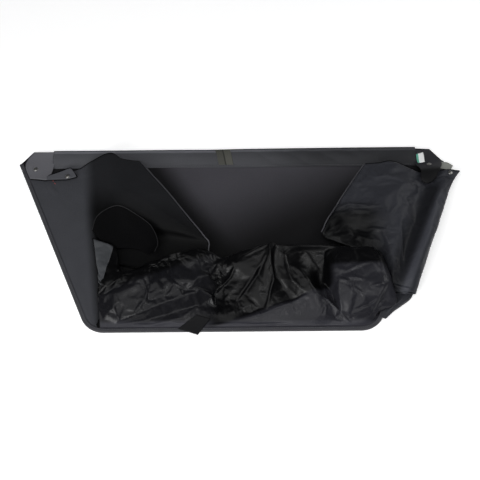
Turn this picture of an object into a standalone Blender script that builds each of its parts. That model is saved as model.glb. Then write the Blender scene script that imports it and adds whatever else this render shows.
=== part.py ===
"""Hopper bag of a tow-behind lawn sweeper, lying on its rear panel with its walls folded in.

The bag is sewn from coated polyester. Its stiff rear panel is a trapezoid on the floor.
A tube sleeve wraps the panel's top margin, two matt side walls and a thin glossy bottom
wall are sewn to its other edges under one edge binding, and snap tabs close the corners.
All lengths are in millimetres until a mesh is made. Plans use the panel's own frame:
X runs along the panel's bottom edge from its middle, Y up the panel, Z up from the floor.
"""
import math

import bmesh
import bpy
import numpy as np
from mathutils import Matrix, Vector
from mathutils.geometry import delaunay_2d_cdt

MM = 0.001

# Clearance that touching pieces keep
GAP = 0.3

# Rear panel
PANEL_WIDTH = 1102.0
PANEL_FOOT = 694.0
WIDE_HEIGHT = 473.0
CHAMFER_IN = 34.0
CHAMFER_UP = 41.0
CORNER_RADIUS = 60.0
CORNER_STEPS = 8
PANEL_THICKNESS = 1.6
DISH_START = 14.0
DISH_RUN = 20.0
DISH_CHAMFER = 10.0

# Edge binding, a folded tape with one leg under the panel and one over the walls
BINDING_WIDTH = 10.0
BINDING_TAPE = 1.0
BINDING_STEPS = 3

# Side walls, bottom wall and the small sewn pieces
WALL_CLOTH = 1.2
VINYL = 1.0
TAB_CLOTH = 1.2
TAPE_CLOTH = 0.7
LABEL_FILM = 0.5
FLANGE_CLEARANCE = 1.5
FLANGE_LIFT = 0.3
WALL_TURN = 2.5
VINYL_TURN = 3.5
PIPING_WIDTH = 3.0
PIPING_THICKNESS = 2.2
PIPING_GAP = 0.4

# Sleeve for the frame tube
SLEEVE_LEFT_MARGIN = 94.0
SLEEVE_RIGHT_MARGIN = 80.0
SLEEVE_DEPTH = 42.0
SLEEVE_CLOTH = 1.0
SLEEVE_STEPS = 6
STITCH_MARGIN = 4.0

# Snap fasteners
SNAP_CAP_RADIUS = 6.0
SNAP_CAP_HEIGHT = 1.8
SNAP_SHANK_RADIUS = 2.0
SNAP_SOCKET_RADIUS = 5.5
SNAP_SOCKET_HEIGHT = 2.4
SNAP_SIDES = 14
SNAP_SEAT = 0.5
SNAP_CELL = 0.5

# Levels that follow from the layers at the panel's edge
RIM_Z = BINDING_TAPE + GAP
RIM_TOP = RIM_Z + PANEL_THICKNESS
FLANGE_Z = RIM_TOP + GAP + WALL_CLOTH / 2
BINDING_INNER_Z = RIM_TOP + GAP + WALL_CLOTH + GAP
BINDING_TOP = BINDING_INNER_Z + BINDING_TAPE
PANEL_INSET = BINDING_TAPE + GAP
FLANGE_END = BINDING_WIDTH + FLANGE_CLEARANCE
PANEL_TOP = WIDE_HEIGHT + CHAMFER_UP

# Leaning side edges
HALF_FOOT = PANEL_FOOT / 2
HALF_WIDTH = PANEL_WIDTH / 2
LEAN = math.atan2(HALF_WIDTH - HALF_FOOT, WIDE_HEIGHT)
SIDE_LENGTH = math.hypot(HALF_WIDTH - HALF_FOOT, WIDE_HEIGHT)
CORNER_TURN = math.pi / 2 - LEAN
CORNER_CUT = CORNER_RADIUS * math.tan(CORNER_TURN / 2)
HALF_FLAT = HALF_FOOT - CORNER_CUT

# Sleeve's ends, short of the corner tabs
SLEEVE_LEFT = SLEEVE_LEFT_MARGIN - HALF_WIDTH
SLEEVE_RIGHT = HALF_WIDTH - SLEEVE_RIGHT_MARGIN

# Sleeve section, (past the panel's top edge, height): from the stitch line under the panel
# round the panel's edge to the stitch line on top
SLEEVE_SECTION = [
    (-42, 0.5), (-16, 0.5), (-1, 0.5), (2.2, 2.1), (3, 4.5), (1, 8.4), (-6, 11.8), (-14, 13.4), (-25, 13.4),
    (-33, 9.8), (-38, 4.7), (-42, 3.7),
]

# Wall sections. Each is (station, points), and a point is (inward, up the panel, height)
# from the seam at that station. Stations are explained at seam().
LEFT_WALL = [
    (2.95, [(66, -24, 7), (136, -14, 14), (183, 10, 34), (230, 29, 46), (261, 12, 44), (287, 7, 43), (307, 6, 42)]),
    (2.85, [(63, -16, 9), (126, -14, 16), (178, -10, 32), (226, -5, 52), (264, -3, 54), (297, 1, 52), (319, 7, 46)]),
    (2.72, [(57, -6, 9), (108, -8, 16), (159, -10, 34), (214, -3, 60), (264, 1, 62), (306, 6, 58), (335, 11, 50)]),
    (2.59, [(49, -3, 9), (93, -5, 16), (130, -6, 34), (186, 12, 50), (266, 0, 54), (326, -8, 54), (368, -11, 49)]),
    (2.54, [(48, 0, 9), (89, -2, 16), (119, -2, 34), (171, 14, 34), (261, -2, 40), (341, -23, 46), (393, -33, 42)]),
    (2.48, [(44, 0, 9), (82, -1, 16), (110, 2, 34), (153, 16, 14), (249, 0, 18), (349, -20, 28), (394, -33, 33)]),
    (2.40, [(40, -2, 9), (74, -3, 15), (100, -2, 34), (118, -6, 16), (180, -30, 10), (270, -50, 11), (345, -68, 17)]),
    (2.34, [(38, -3, 9), (68, -3, 14), (92, 0, 32), (102, 0, 28), (108, -1, 20), (112, -2, 13), (116, -4, 8)]),
    (2.20, [(30, -2, 8), (52, -2, 12), (73, 1, 26), (80, 2, 22), (85, 2, 16), (88, 2, 11), (91, 2, 7.5)]),
    (2.05, [(22, 2, 6.5), (34, 3, 8), (48, 6, 14), (53, 7, 12), (56, 8, 10), (59, 8, 8), (62, 8, 7)]),
    (1.75, [(16, 4, 5.4), (20, 7, 6), (25, 9, 6.6), (28, 11, 6.3), (30, 12, 6), (32, 13, 5.8), (34, 14, 5.6)]),
]

RIGHT_WALL = [
    (2.96, [(17, -4, 7.5), (8, -10, 10.5), (-43, -19, 14), (-10, -19, 21), (30, -27, 19), (61, -28, 24),
            (133, -7, 44), (170, -13, 46), (203, -14, 44)]),
    (2.87, [(17, -2, 7.5), (8, -8, 10.5), (-38, -13, 18), (-10, -21, 30), (27, -25, 22), (70, -36, 38),
            (128, -37, 52), (178, -35, 50), (225, -35, 46)]),
    (2.74, [(17, -2, 7.5), (6, -6, 11), (-38, -11, 22), (-16, -19, 42), (24, -22, 28), (71, -35, 46),
            (122, -39, 54), (181, -35, 52), (235, -34, 46)]),
    (2.59, [(17, -1, 7.5), (5, -5, 11), (-38, -9, 24), (-18, -15, 46), (20, -22, 28), (63, -27, 48),
            (112, -17, 52), (179, -1, 44), (243, -30, 42)]),
    (2.47, [(17, -1, 7.5), (5, -5, 11), (-40, -8, 24), (-21, -15, 48), (16, -22, 30), (53, -17, 48),
            (94, 0, 36), (150, 14, 22), (215, -6, 26)]),
    (2.34, [(17, -1, 7.5), (4, -4, 11), (-44, -8, 24), (-23, -12, 48), (12, -21, 34), (36, -10, 42),
            (48, 0, 36), (56, 2, 26), (62, 2, 16)]),
    (2.22, [(16, -1, 7.5), (3, -4, 11), (-47, -12, 22), (-30, -12, 44), (-2, -17, 32), (14, -13, 34),
            (22, -6, 30), (28, -3, 24), (32, -2, 18)]),
    (2.14, [(14, -1, 7.2), (2, -4, 10), (-52, -9, 16), (-37, -9, 30), (-16, -7, 24), (-3, -6, 26),
            (5, -3, 22), (10, -2, 18), (14, -1, 14)]),
]

# Bottom wall sections: (station, points), a point being (to the right, up the panel, height)
# from the seam, up to the crumpled mouth edge.
BOTTOM_WALL = [
    (-1.18, [(0, 46, 12.5), (-4, 80, 20), (-6, 111, 28), (-10, 153, 33), (-15, 200, 36), (-21, 238, 38)]),
    (-0.94, [(-9, 45, 12), (-14, 73, 22), (-14, 99, 34), (-12, 119, 42), (-3, 169, 34), (3, 217, 26)]),
    (-0.84, [(-6, 37, 8), (-6, 70, 28), (-6, 103, 42), (-4, 128, 48), (-4, 139, 42), (-4, 143, 32)]),
    (-0.64, [(-5, 39, 9), (-7, 74, 30), (-7, 110, 44), (-3, 147, 50), (-2, 158, 44), (-1, 162, 34)]),
    (-0.42, [(-6, 41, 9), (-8, 78, 26), (-10, 114, 44), (-9, 166, 50), (-8, 178, 46), (-7, 184, 38)]),
    (-0.23, [(3, 46, 8), (5, 80, 14), (5, 117, 36), (3, 161, 46), (3, 187, 49), (5, 206, 46)]),
    (-0.08, [(-5, 45, 8), (-15, 86, 12), (-17, 112, 24), (-14, 140, 34), (-9, 160, 42), (-5, 183, 34)]),
    (0.10, [(-12, 49, 10), (-22, 83, 18), (-26, 113, 28), (-26, 143, 38), (-21, 166, 46), (-11, 196, 40)]),
    (0.28, [(-15, 43, 12), (-24, 74, 24), (-24, 106, 36), (-14, 142, 48), (1, 181, 58), (12, 204, 60)]),
    (0.45, [(-5, 41, 14), (-14, 74, 22), (-23, 109, 28), (-27, 144, 34), (-27, 174, 46), (-24, 202, 57)]),
    (0.62, [(0, 38, 20), (2, 63, 34), (5, 85, 44), (-15, 122, 50), (-36, 164, 50), (-32, 204, 52)]),
    (0.77, [(4, 29, 16), (-3, 56, 26), (-11, 88, 24), (-21, 122, 20), (-17, 166, 34), (-6, 205, 49)]),
    (0.93, [(-5, 24, 12), (-22, 46, 34), (-29, 80, 52), (-30, 112, 58), (-32, 166, 52), (-29, 204, 49)]),
    (1.13, [(-4, 27, 16), (-13, 50, 46), (-17, 86, 60), (-17, 122, 62), (-22, 167, 58), (-24, 196, 54)]),
    (1.61, [(0, 30, 20), (3, 44, 40), (6, 73, 56), (3, 114, 60), (2, 153, 58), (-5, 183, 52)]),
    (1.99, [(-6, 11, 9), (24, 22, 14), (30, 44, 28), (19, 76, 40), (11, 121, 46), (-2, 153, 48)]),
]

# Main folds of the bottom wall, each a line of (x, y, height) in the panel's frame: the roll
# at the left, the fan of pleats, the smooth triangle and the standing box at the right
VINYL_FOLDS = [
    [(-307, 66, 26), (-292, 47, 28), (-268, 26, 20), (-228, 36, 28), (-196, 49, 32), (-162, 63, 34), (-118, 81, 36),
     (-79, 93, 38)],
    [(-310, 32, 8), (-287, 19, 7), (-245, 24, 8), (-202, 32, 9), (-145, 48, 10), (-82, 65, 12), (-61, 75, 12)],
    [(-321, 118, 34), (-303, 107, 40), (-284, 95, 42), (-250, 105, 44), (-212, 114, 46), (-183, 121, 47),
     (-139, 110, 46), (-101, 115, 47), (-81, 123, 50), (-58, 131, 46)],
    [(-286, 112, 36), (-251, 118, 38), (-217, 126, 40)],
    [(-275, 130, 44), (-200, 143, 47), (-142, 156, 49), (-82, 147, 47)],
    [(-212, 114, 46), (-205, 88, 43), (-207, 71, 38)],
    [(-167, 76, 36), (-139, 110, 46), (-111, 97, 36), (-92, 104, 44), (-81, 123, 50)],
    [(-92, 104, 44), (-50, 85, 26)],
    [(-283, 51, 33), (-256, 53, 27), (-230, 46, 31)],
    [(-54, 142, 30), (-34, 166, 38), (-15, 145, 22)],
    [(7, 156, 40), (-5, 133, 24), (-28, 112, 16), (-44, 97, 10), (-39, 61, 8)],
    [(14, 172, 42), (34, 182, 46), (61, 193, 53), (93, 203, 60)],
    [(93, 203, 60), (73, 160, 47), (43, 118, 33), (9, 73, 16)],
    [(63, 143, 34), (29, 97, 18)],
    [(93, 203, 60), (101, 121, 38), (91, 87, 24), (83, 55, 12)],
    [(107, 132, 30), (130, 104, 20), (157, 78, 15)],
    [(128, 180, 52), (135, 148, 47), (146, 115, 41), (163, 98, 38), (183, 86, 37)],
    [(183, 86, 37), (139, 65, 24), (71, 42, 14), (-1, 25, 8)],
    [(183, 86, 37), (230, 70, 28), (260, 41, 15), (286, 13, 7)],
    [(163, 80, 19), (125, 72, 12), (67, 58, 8)],
    [(226, 142, 22), (222, 120, 17), (240, 100, 16), (247, 75, 13)],
    [(179, 196, 38), (228, 195, 38)],
    [(254, 113, 50), (255, 78, 38), (265, 39, 16), (288, 13, 6)],
    [(235, 144, 40), (276, 134, 57), (304, 147, 61), (340, 159, 59)],
    [(302, 192, 52), (331, 188, 54), (339, 205, 52)],
    [(339, 205, 52), (351, 178, 55), (363, 142, 55), (374, 106, 49)],
    [(281, 34, 14), (326, 48, 31), (348, 65, 39), (374, 106, 49)],
    [(319, 16, 8), (334, 37, 16), (358, 70, 28)],
    [(287, 93, 53), (309, 78, 44), (327, 58, 33)],
    [(289, 116, 58), (318, 110, 55)],
    [(336, 129, 58), (358, 128, 55)],
]
FOLD_BORDER_STEP = 3
FOLD_START = 2

# Gusset in the left corner, a niche open to the front. Rows run from its arched rim down
# to its foot, and points are (inward, up the panel, height) from the seam at its station.
GUSSET_STATION = 2.48
LEFT_GUSSET = [
    [(108, 12, 41), (120, 44, 53), (152, 65, 61), (179, 67, 63), (214, 47, 61), (254, 15, 57), (272, -26, 50),
     (265, -50, 44)],
    [(130, -14, 31), (140, 12, 35), (157, 25, 36), (180, 28, 34), (208, 18, 33), (236, -4, 31), (254, -26, 30),
     (256, -42, 30)],
    [(142, -38, 23), (153, -32, 21), (171, -28, 19), (191, -26, 18), (211, -28, 18), (226, -32, 19), (238, -38, 21),
     (246, -46, 24)],
]

# Corner and side tabs, each a net of rows of (x, y, z) from the panel's widest corner on
# its side, with x counted inwards.
LEFT_CORNER_TAB = [
    [(36, 36, 3.8), (55, 36, 3.8), (76, 36, 3.8), (90, 36, 3.8)],
    [(21, 16, 3.8), (47, 13, 6), (73, 14, 6.4), (90, 15, 5)],
    [(17, -9, 6.2), (43, -15, 7.6), (70, -13, 7.6), (90, -10, 7.4)],
    [(32, -44, 7.4), (52, -47, 9.5), (76, -50, 10.8), (84, -40, 10.8)],
]
LEFT_SIDE_TAB = [
    [(76, -40, 12.4), (109, -30, 16), (135, -22, 21), (143, -30, 22)],
    [(76, -46, 12.4), (110, -42, 16), (134, -38, 20), (149, -39, 22)],
    [(77, -51, 12.4), (111, -52, 16), (131, -53, 19.5), (154, -48, 22)],
]
RIGHT_CORNER_TAB = [
    [(77, 36, 3.8), (63, 36, 3.8), (50, 36, 3.8), (36, 36, 3.8)],
    [(77, 17, 4.5), (62, 16, 7), (42, 17, 7), (21, 17, 4.2)],
    [(77, -7, 8), (62, -13, 14), (38, -11, 16), (8, -6, 10)],
    [(68, -43, 34), (52, -43, 35), (34, -42, 35), (17, -38, 32)],
    [(71, -64, 38), (60, -68, 39), (45, -68, 39), (28, -60, 37)],
    [(69, -76, 35), (58, -83, 35), (45, -81, 35), (31, -68, 33)],
    [(66, -70, 29), (57, -75, 29), (44, -73, 29), (33, -64, 29)],
]
CORNER_WEBBING = [
    [(9, -29, 6.6), (6, -16, 6.6), (3, -3, 6.6)],
    [(-4, -29, 6.6), (-6, -17, 6.6), (-8, -5, 6.6)],
    [(-13, -29, 6.8), (-18, -22, 6.8), (-22, -15, 6.8)],
]

# Pleat of the bottom wall that spills over the lower right corner, in the panel's frame:
# rows from the right wall's hem down to the corner, columns from the binding outwards
CORNER_PLEAT = [
    [(386, 88, 7.0), (400, 91, 8.4), (418, 91, 10.5), (434, 89, 12.0), (440, 88, 9.0)],
    [(373, 76, 7.0), (390, 76, 9.0), (408, 77, 11.5), (424, 79, 10.5), (430, 79, 6.5)],
    [(366, 61, 7.0), (380, 61, 8.8), (392, 62, 10.5), (403, 63, 9.5), (409, 63, 5.5)],
    [(359, 47, 6.9), (367, 46, 7.6), (376, 46, 8.4), (382, 46, 8.0), (387, 47, 5.5)],
    [(353, 33, 6.9), (357, 31, 7.0), (361, 30, 7.2), (365, 29, 7.0), (368, 29, 5.5)],
]

# Pull tab over the bottom seam, in the panel's frame
PULL_TAB = [
    [(-130, 7, 6.8), (-106, -1, 6.8), (-82, -9, 6.8)],
    [(-108, 24, 9.6), (-90, 18, 9), (-68, 11, 8.4)],
    [(-85, 41, 13), (-70, 36, 12), (-53, 31, 11)],
]

# Places on the nets, as (row, column) pairs: the label's and the patch's corners, the snaps
LABEL_CORNERS = [(0.95, 0.35), (0.62, 1.55), (1.85, 1.5), (1.95, 0.6)]
LABEL_LIFT = 0.8
PATCH_LEFT_TOP = -43.0
PATCH_WIDTH = 38.0
PATCH_SLANT = 10.0
PATCH_SPAN = (5.5, 10.0)
LEFT_TAB_SNAP = (2.05, 1.0)
LEFT_SIDE_SNAP = (1.45, 1.85)
RIGHT_TAB_SNAP = (2.25, 1.75)
RIGHT_WALL_SNAP = (0.25, 5.75)


def clear_scene():
    """Empty the file of objects."""
    for old in list(bpy.data.objects):
        bpy.data.objects.remove(old, do_unlink=True)


def finish(name, colour, roughness, metallic=0.0):
    """A plain material: its colour, roughness and metallic value."""
    material = bpy.data.materials.new(name)
    material.use_nodes = True
    shader = material.node_tree.nodes["Principled BSDF"]
    shader.inputs["Base Color"].default_value = (*colour, 1.0)
    shader.inputs["Roughness"].default_value = roughness
    shader.inputs["Metallic"].default_value = metallic
    return material


def seam(station, inset=0.0):
    """A point on the panel's outline, moved in by the inset.

    Stations count from the middle of the bottom edge, plus to the right and minus to the
    left: 1 is where the flat bottom edge ends, 2 where the rounded corner ends and 3 the
    panel's widest corner.
    """
    side = -1.0 if station < 0 else 1.0
    reach = abs(station)
    if reach <= 1.0:
        return side * HALF_FLAT * reach, inset
    if reach <= 2.0:
        turn = (reach - 1.0) * CORNER_TURN
        radius = CORNER_RADIUS - inset
        return side * (HALF_FLAT + radius * math.sin(turn)), CORNER_RADIUS - radius * math.cos(turn)
    run = CORNER_CUT + (SIDE_LENGTH - CORNER_CUT) * (reach - 2.0)
    across = HALF_FOOT + run * math.sin(LEAN) - inset * math.cos(LEAN)
    return side * across, run * math.cos(LEAN) + inset * math.sin(LEAN)


def outline(inset, top_inset, chamfer_in, chamfer_up):
    """The panel's outline, anticlockwise from above: its sides moved in, its top cut back."""
    top = PANEL_TOP - top_inset
    wide = top - chamfer_up
    across = HALF_FOOT + wide * math.tan(LEAN) - inset / math.cos(LEAN)
    turns = [1.0 + step / CORNER_STEPS for step in range(CORNER_STEPS + 1)]
    right = [seam(turn, inset) for turn in turns]
    right += [(across, wide), (across - chamfer_in, top)]
    return right + [(-x, y) for x, y in reversed(right)]


def weights(t):
    """Catmull-Rom weights of four neighbours at the fraction t of the middle span."""
    return np.stack([
        (-t + 2 * t**2 - t**3) / 2,
        (2 - 5 * t**2 + 3 * t**3) / 2,
        (t + 4 * t**2 - 3 * t**3) / 2,
        (-t**2 + t**3) / 2,
    ])


class Net:
    """A smooth cloth surface through a net of points, read at any (row, column).

    Its outer side is where the rows, crossed with the columns, point: facing is -1.0 where
    that is downwards. A net that starts in the binding never dips below its flange.
    """

    def __init__(self, rows, facing=1.0, lowest=0.0):
        self.facing = facing
        self.lowest = lowest
        points = np.array(rows, dtype=float)
        points = np.concatenate([2 * points[:1] - points[1:2], points, 2 * points[-1:] - points[-2:-1]], axis=0)
        first = 2 * points[:, :1] - points[:, 1:2]
        last = 2 * points[:, -1:] - points[:, -2:-1]
        self.points = np.concatenate([first, points, last], axis=1)
        self.rows = len(rows)
        self.columns = len(rows[0])

    def at(self, row, column):
        """Surface points for arrays of rows and columns."""
        row, column = np.broadcast_arrays(np.asarray(row, float), np.asarray(column, float))
        i = np.clip(np.floor(row), 0, self.rows - 2).astype(int)
        j = np.clip(np.floor(column), 0, self.columns - 2).astype(int)
        along = weights(row - i)
        across = weights(column - j)
        total = 0.0
        for a in range(4):
            for b in range(4):
                total = total + (along[a] * across[b])[..., None] * self.points[i + a, j + b]
        total[..., 2] = np.maximum(total[..., 2], self.lowest)
        return total

    def normal(self, row, column):
        """Unit normals on the outer side."""
        step = 0.02
        down = self.at(row + step, column) - self.at(row - step, column)
        over = self.at(row, column + step) - self.at(row, column - step)
        cross = np.cross(down, over)
        return self.facing * cross / np.linalg.norm(cross, axis=-1, keepdims=True)


def grid_object(name, grid, thickness, material):
    """A cloth piece: the grid's faces, given their thickness evenly to both sides."""
    rows, columns = grid.shape[:2]
    mesh = bpy.data.meshes.new(name)
    corners = [tuple(point) for point in (grid.reshape(-1, 3) * MM)]
    faces = []
    for i in range(rows - 1):
        for j in range(columns - 1):
            a = i * columns + j
            faces.append((a, a + 1, a + columns + 1, a + columns))
    mesh.from_pydata(corners, [], faces)
    shell = bmesh.new()
    shell.from_mesh(mesh)
    bmesh.ops.triangulate(shell, faces=shell.faces[:], quad_method="SHORT_EDGE")
    shell.to_mesh(mesh)
    shell.free()
    piece = place(name, mesh, material)
    wall = piece.modifiers.new("Thickness", "SOLIDIFY")
    wall.thickness = thickness * MM
    wall.offset = 0.0
    return piece


def place(name, mesh, material):
    """Put a mesh in the scene under the root empty."""
    mesh.materials.append(material)
    mesh.shade_smooth()
    mesh.set_sharp_from_angle(angle=math.radians(35))
    piece = bpy.data.objects.new(name, mesh)
    bpy.context.collection.objects.link(piece)
    piece.parent = ROOT
    return piece


def solid_object(name, shell, material):
    """A closed solid made with bmesh, in millimetres."""
    bmesh.ops.scale(shell, vec=(MM, MM, MM), verts=shell.verts[:])
    bmesh.ops.recalc_face_normals(shell, faces=shell.faces[:])
    mesh = bpy.data.meshes.new(name)
    shell.to_mesh(mesh)
    shell.free()
    return place(name, mesh, material)


def net_grid(net, row_steps, column_steps):
    """The whole of a net, read at even steps between its rows and columns."""
    rows = np.linspace(0, net.rows - 1, (net.rows - 1) * row_steps + 1)
    columns = np.linspace(0, net.columns - 1, (net.columns - 1) * column_steps + 1)
    return net.at(rows[:, None], columns[None, :])


def net_piece(name, net, row_steps, column_steps, thickness, material):
    """A cloth piece over the whole of a net."""
    return grid_object(name, net_grid(net, row_steps, column_steps), thickness, material)


def patch_piece(name, net, corners, steps, lift, thickness, material):
    """A flat piece sewn or stuck on a net between four (row, column) corners."""
    a, b, c, d = [np.array(corner) for corner in corners]
    u = np.linspace(0, 1, steps[0] + 1)[:, None, None]
    v = np.linspace(0, 1, steps[1] + 1)[None, :, None]
    places = (1 - u) * ((1 - v) * a + v * b) + u * ((1 - v) * d + v * c)
    base = net.at(places[..., 0], places[..., 1])
    out = net.normal(places[..., 0], places[..., 1])
    return grid_object(name, base + out * lift, thickness, material)


def wall_net(sections, side):
    """A side wall's net: its flange inside the binding, then its sections."""
    rows = []
    for station, points in sections:
        foot = seam(side * station)
        row = []
        for inset, lift in ((PANEL_INSET + GAP, 0.0), (FLANGE_END, 0.0), (FLANGE_END + WALL_TURN, FLANGE_LIFT)):
            row.append((*seam(side * station, inset), FLANGE_Z + lift))
        row += [(foot[0] - side * inward, foot[1] + up, height) for inward, up, height in points]
        rows.append(row)
    return Net(rows, facing=-side, lowest=FLANGE_Z)


def bottom_net():
    """The bottom wall's net: its flange inside the binding, then its sections."""
    rows = []
    for station, points in BOTTOM_WALL:
        foot = seam(station)
        row = []
        for inset, lift in ((PANEL_INSET + GAP, 0.0), (FLANGE_END, 0.0), (FLANGE_END + VINYL_TURN, FLANGE_LIFT)):
            row.append((*seam(station, inset), FLANGE_Z + lift))
        row += [(foot[0] + right, foot[1] + up, height) for right, up, height in points]
        rows.append(row)
    return Net(rows, lowest=FLANGE_Z)


def folded(net, row_steps, column_steps, folds):
    """A net's grid, lifted so that it runs through its folds, with flat facets between them.

    The fold points, lifted to their heights, and the grid's border, which stays as it is,
    are joined by a Delaunay triangulation that keeps every fold as an edge. The grid's
    points take their lifts from the triangles they lie in, halfway evened out with those of
    their neighbours, but the flange stays flat.
    """
    grid = net_grid(net, row_steps, column_steps)
    flat = grid.reshape(-1, 3)
    step = FOLD_BORDER_STEP
    border = np.concatenate([grid[::step, 0], grid[::step, -1], grid[0, ::step], grid[-1, ::step]])
    places = []
    lifts = []
    edges = []
    for fold in folds:
        first = len(places)
        for x, y, height in fold:
            nearest = np.argmin((flat[:, 0] - x) ** 2 + (flat[:, 1] - y) ** 2)
            places.append((x, y))
            lifts.append(height - flat[nearest, 2])
        edges += [(k, k + 1) for k in range(first, len(places) - 1)]
    places += [tuple(point[:2]) for point in border]
    lifts += [0.0] * len(border)
    corners, _, faces, sources, _, _ = delaunay_2d_cdt([Vector(place) for place in places], edges, [], 0, 0.5)
    known = np.array(places)
    levels = []
    for corner, source in zip(corners, sources):
        nearest = source[0] if source else int(np.argmin(np.sum((known - np.array(corner)) ** 2, axis=1)))
        levels.append(lifts[nearest])
    lift = np.zeros(len(flat))
    for face in faces:
        a, b, c = [np.array(corners[k]) for k in face]
        twice_area = (b[0] - a[0]) * (c[1] - a[1]) - (b[1] - a[1]) * (c[0] - a[0])
        if abs(twice_area) < 1e-6:
            continue
        dx = flat[:, 0] - a[0]
        dy = flat[:, 1] - a[1]
        v = (dx * (c[1] - a[1]) - dy * (c[0] - a[0])) / twice_area
        w = (dy * (b[0] - a[0]) - dx * (b[1] - a[1])) / twice_area
        inside = (v >= -1e-6) & (w >= -1e-6) & (v + w <= 1 + 1e-6)
        value = levels[face[0]] * (1 - v - w) + levels[face[1]] * v + levels[face[2]] * w
        lift = np.where(inside, value, lift)
    free = np.clip(np.linspace(0, net.columns - 1, grid.shape[1]) - FOLD_START, 0, 1)
    lift = lift.reshape(grid.shape[:2])
    beside = np.pad(lift, 1, mode="edge")
    beside = beside[:-2, 1:-1] + beside[2:, 1:-1] + beside[1:-1, :-2] + beside[1:-1, 2:]
    lift = (lift + beside / 4) / 2
    grid[..., 2] = np.maximum(grid[..., 2] + lift * free, FLANGE_Z)
    return grid


def gusset_net():
    """The left gusset's net, set from the seam at its station."""
    foot = seam(-GUSSET_STATION)
    return Net([[(foot[0] + inward, foot[1] + up, height) for inward, up, height in row] for row in LEFT_GUSSET])


def corner_net(rows, side):
    """A tab's net, set from the panel's widest corner on its side."""
    return Net([[(side * (HALF_WIDTH - x), WIDE_HEIGHT + y, z) for x, y, z in row] for row in rows])


def rear_panel(material):
    """The rear panel: a rim under the binding, and a middle that sinks to the floor."""
    outer = (PANEL_INSET, PANEL_INSET, CHAMFER_IN, CHAMFER_UP)
    under_sleeve = SLEEVE_DEPTH + STITCH_MARGIN
    rim = (DISH_START, under_sleeve, DISH_CHAMFER, DISH_CHAMFER)
    floor = (DISH_START + DISH_RUN, under_sleeve + DISH_RUN, DISH_CHAMFER, DISH_CHAMFER)
    shell = bmesh.new()
    rings = []
    for shape, level in ((floor, 0.0), (rim, RIM_Z), (outer, RIM_Z)):
        rings.append([shell.verts.new((x, y, level)) for x, y in outline(*shape)])
    for shape, level in ((outer, RIM_Z), (rim, RIM_Z), (floor, 0.0)):
        top = level + PANEL_THICKNESS
        rings.append([shell.verts.new((x, y, top)) for x, y in outline(*shape)])
    count = len(rings[0])
    for lower, upper in zip(rings, rings[1:]):
        for i in range(count):
            j = (i + 1) % count
            shell.faces.new((lower[i], upper[i], upper[j], lower[j]))
    shell.faces.new(rings[0])
    shell.faces.new(rings[-1])
    return solid_object("rear_panel", shell, material)


def edge_binding(material):
    """The binding tape, a U section carried round the sides and the bottom."""
    section = [
        (0.0, 0.0), (BINDING_WIDTH, 0.0), (BINDING_WIDTH, BINDING_TAPE), (BINDING_TAPE, BINDING_TAPE),
        (BINDING_TAPE, BINDING_INNER_Z), (BINDING_WIDTH, BINDING_INNER_Z), (BINDING_WIDTH, BINDING_TOP),
        (0.0, BINDING_TOP),
    ]
    side = [2.0 + step / BINDING_STEPS for step in range(1, BINDING_STEPS + 1)]
    arc = [1.0 + step / CORNER_STEPS for step in range(CORNER_STEPS + 1)]
    half = arc + side
    stations = [-station for station in reversed(half)] + half
    shell = bmesh.new()
    rings = []
    for station in stations:
        ring = []
        for inset, level in section:
            ring.append(shell.verts.new((*seam(station, inset), level)))
        rings.append(ring)
    count = len(section)
    for first, second in zip(rings, rings[1:]):
        for i in range(count):
            j = (i + 1) % count
            shell.faces.new((first[i], first[j], second[j], second[i]))
    shell.faces.new(rings[0])
    shell.faces.new(rings[-1])
    return solid_object("edge_binding", shell, material)


def sleeve_net():
    """The sleeve's net: a leg under the panel, a fold past its top edge, an arched top."""
    rows = [[(x, PANEL_TOP + past, height) for past, height in SLEEVE_SECTION] for x in (SLEEVE_LEFT, SLEEVE_RIGHT)]
    return Net(rows, facing=-1.0, lowest=SLEEVE_CLOTH / 2)


def sleeve_patch(net, material):
    """Two slanting strips of tape side by side on the sleeve's top, in one piece."""
    length = SLEEVE_RIGHT - SLEEVE_LEFT
    left = (PATCH_LEFT_TOP - SLEEVE_LEFT) / length
    right = left + PATCH_WIDTH / length
    slant = PATCH_SLANT / length
    start, end = PATCH_SPAN
    corners = [(left, start), (right, start), (right + slant, end), (left + slant, end)]
    lift = SLEEVE_CLOTH / 2 + GAP + TAPE_CLOTH / 2
    return patch_piece("sleeve_patch", net, corners, (9, 1), lift, TAPE_CLOTH, material)


def piping(name, net, first, last, material):
    """The bound mouth edge of a side wall, along the net's last column."""
    rows = np.linspace(first, last, int((last - first) * 4) + 1)
    end = net.columns - 1
    edge = net.at(rows, end)
    run = np.gradient(edge, axis=0)
    run /= np.linalg.norm(run, axis=-1, keepdims=True)
    out = edge - net.at(rows, end - 0.1)
    out -= run * np.sum(out * run, axis=-1, keepdims=True)
    out /= np.linalg.norm(out, axis=-1, keepdims=True)
    grid = np.stack([edge + out * PIPING_GAP, edge + out * (PIPING_GAP + PIPING_WIDTH)], axis=1)
    return grid_object(name, grid, PIPING_THICKNESS, material)


def turned(name, profile, material):
    """A turned solid from (radius, height) points; a first or last radius of 0 closes on the axis."""
    shell = bmesh.new()
    rings = []
    for radius, height in profile:
        if radius == 0.0:
            rings.append([shell.verts.new((0, 0, height))])
            continue
        angles = [2 * math.pi * k / SNAP_SIDES for k in range(SNAP_SIDES)]
        rings.append([shell.verts.new((radius * math.cos(a), radius * math.sin(a), height)) for a in angles])
    for first, second in zip(rings, rings[1:] + rings[:1]):
        if len(first) == len(second) == 1:
            continue
        for i in range(SNAP_SIDES):
            j = (i + 1) % SNAP_SIDES
            loop = [first[i % len(first)], first[j % len(first)], second[j % len(second)], second[i % len(second)]]
            shell.faces.new(list(dict.fromkeys(loop)))
    return solid_object(name, shell, material)


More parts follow.
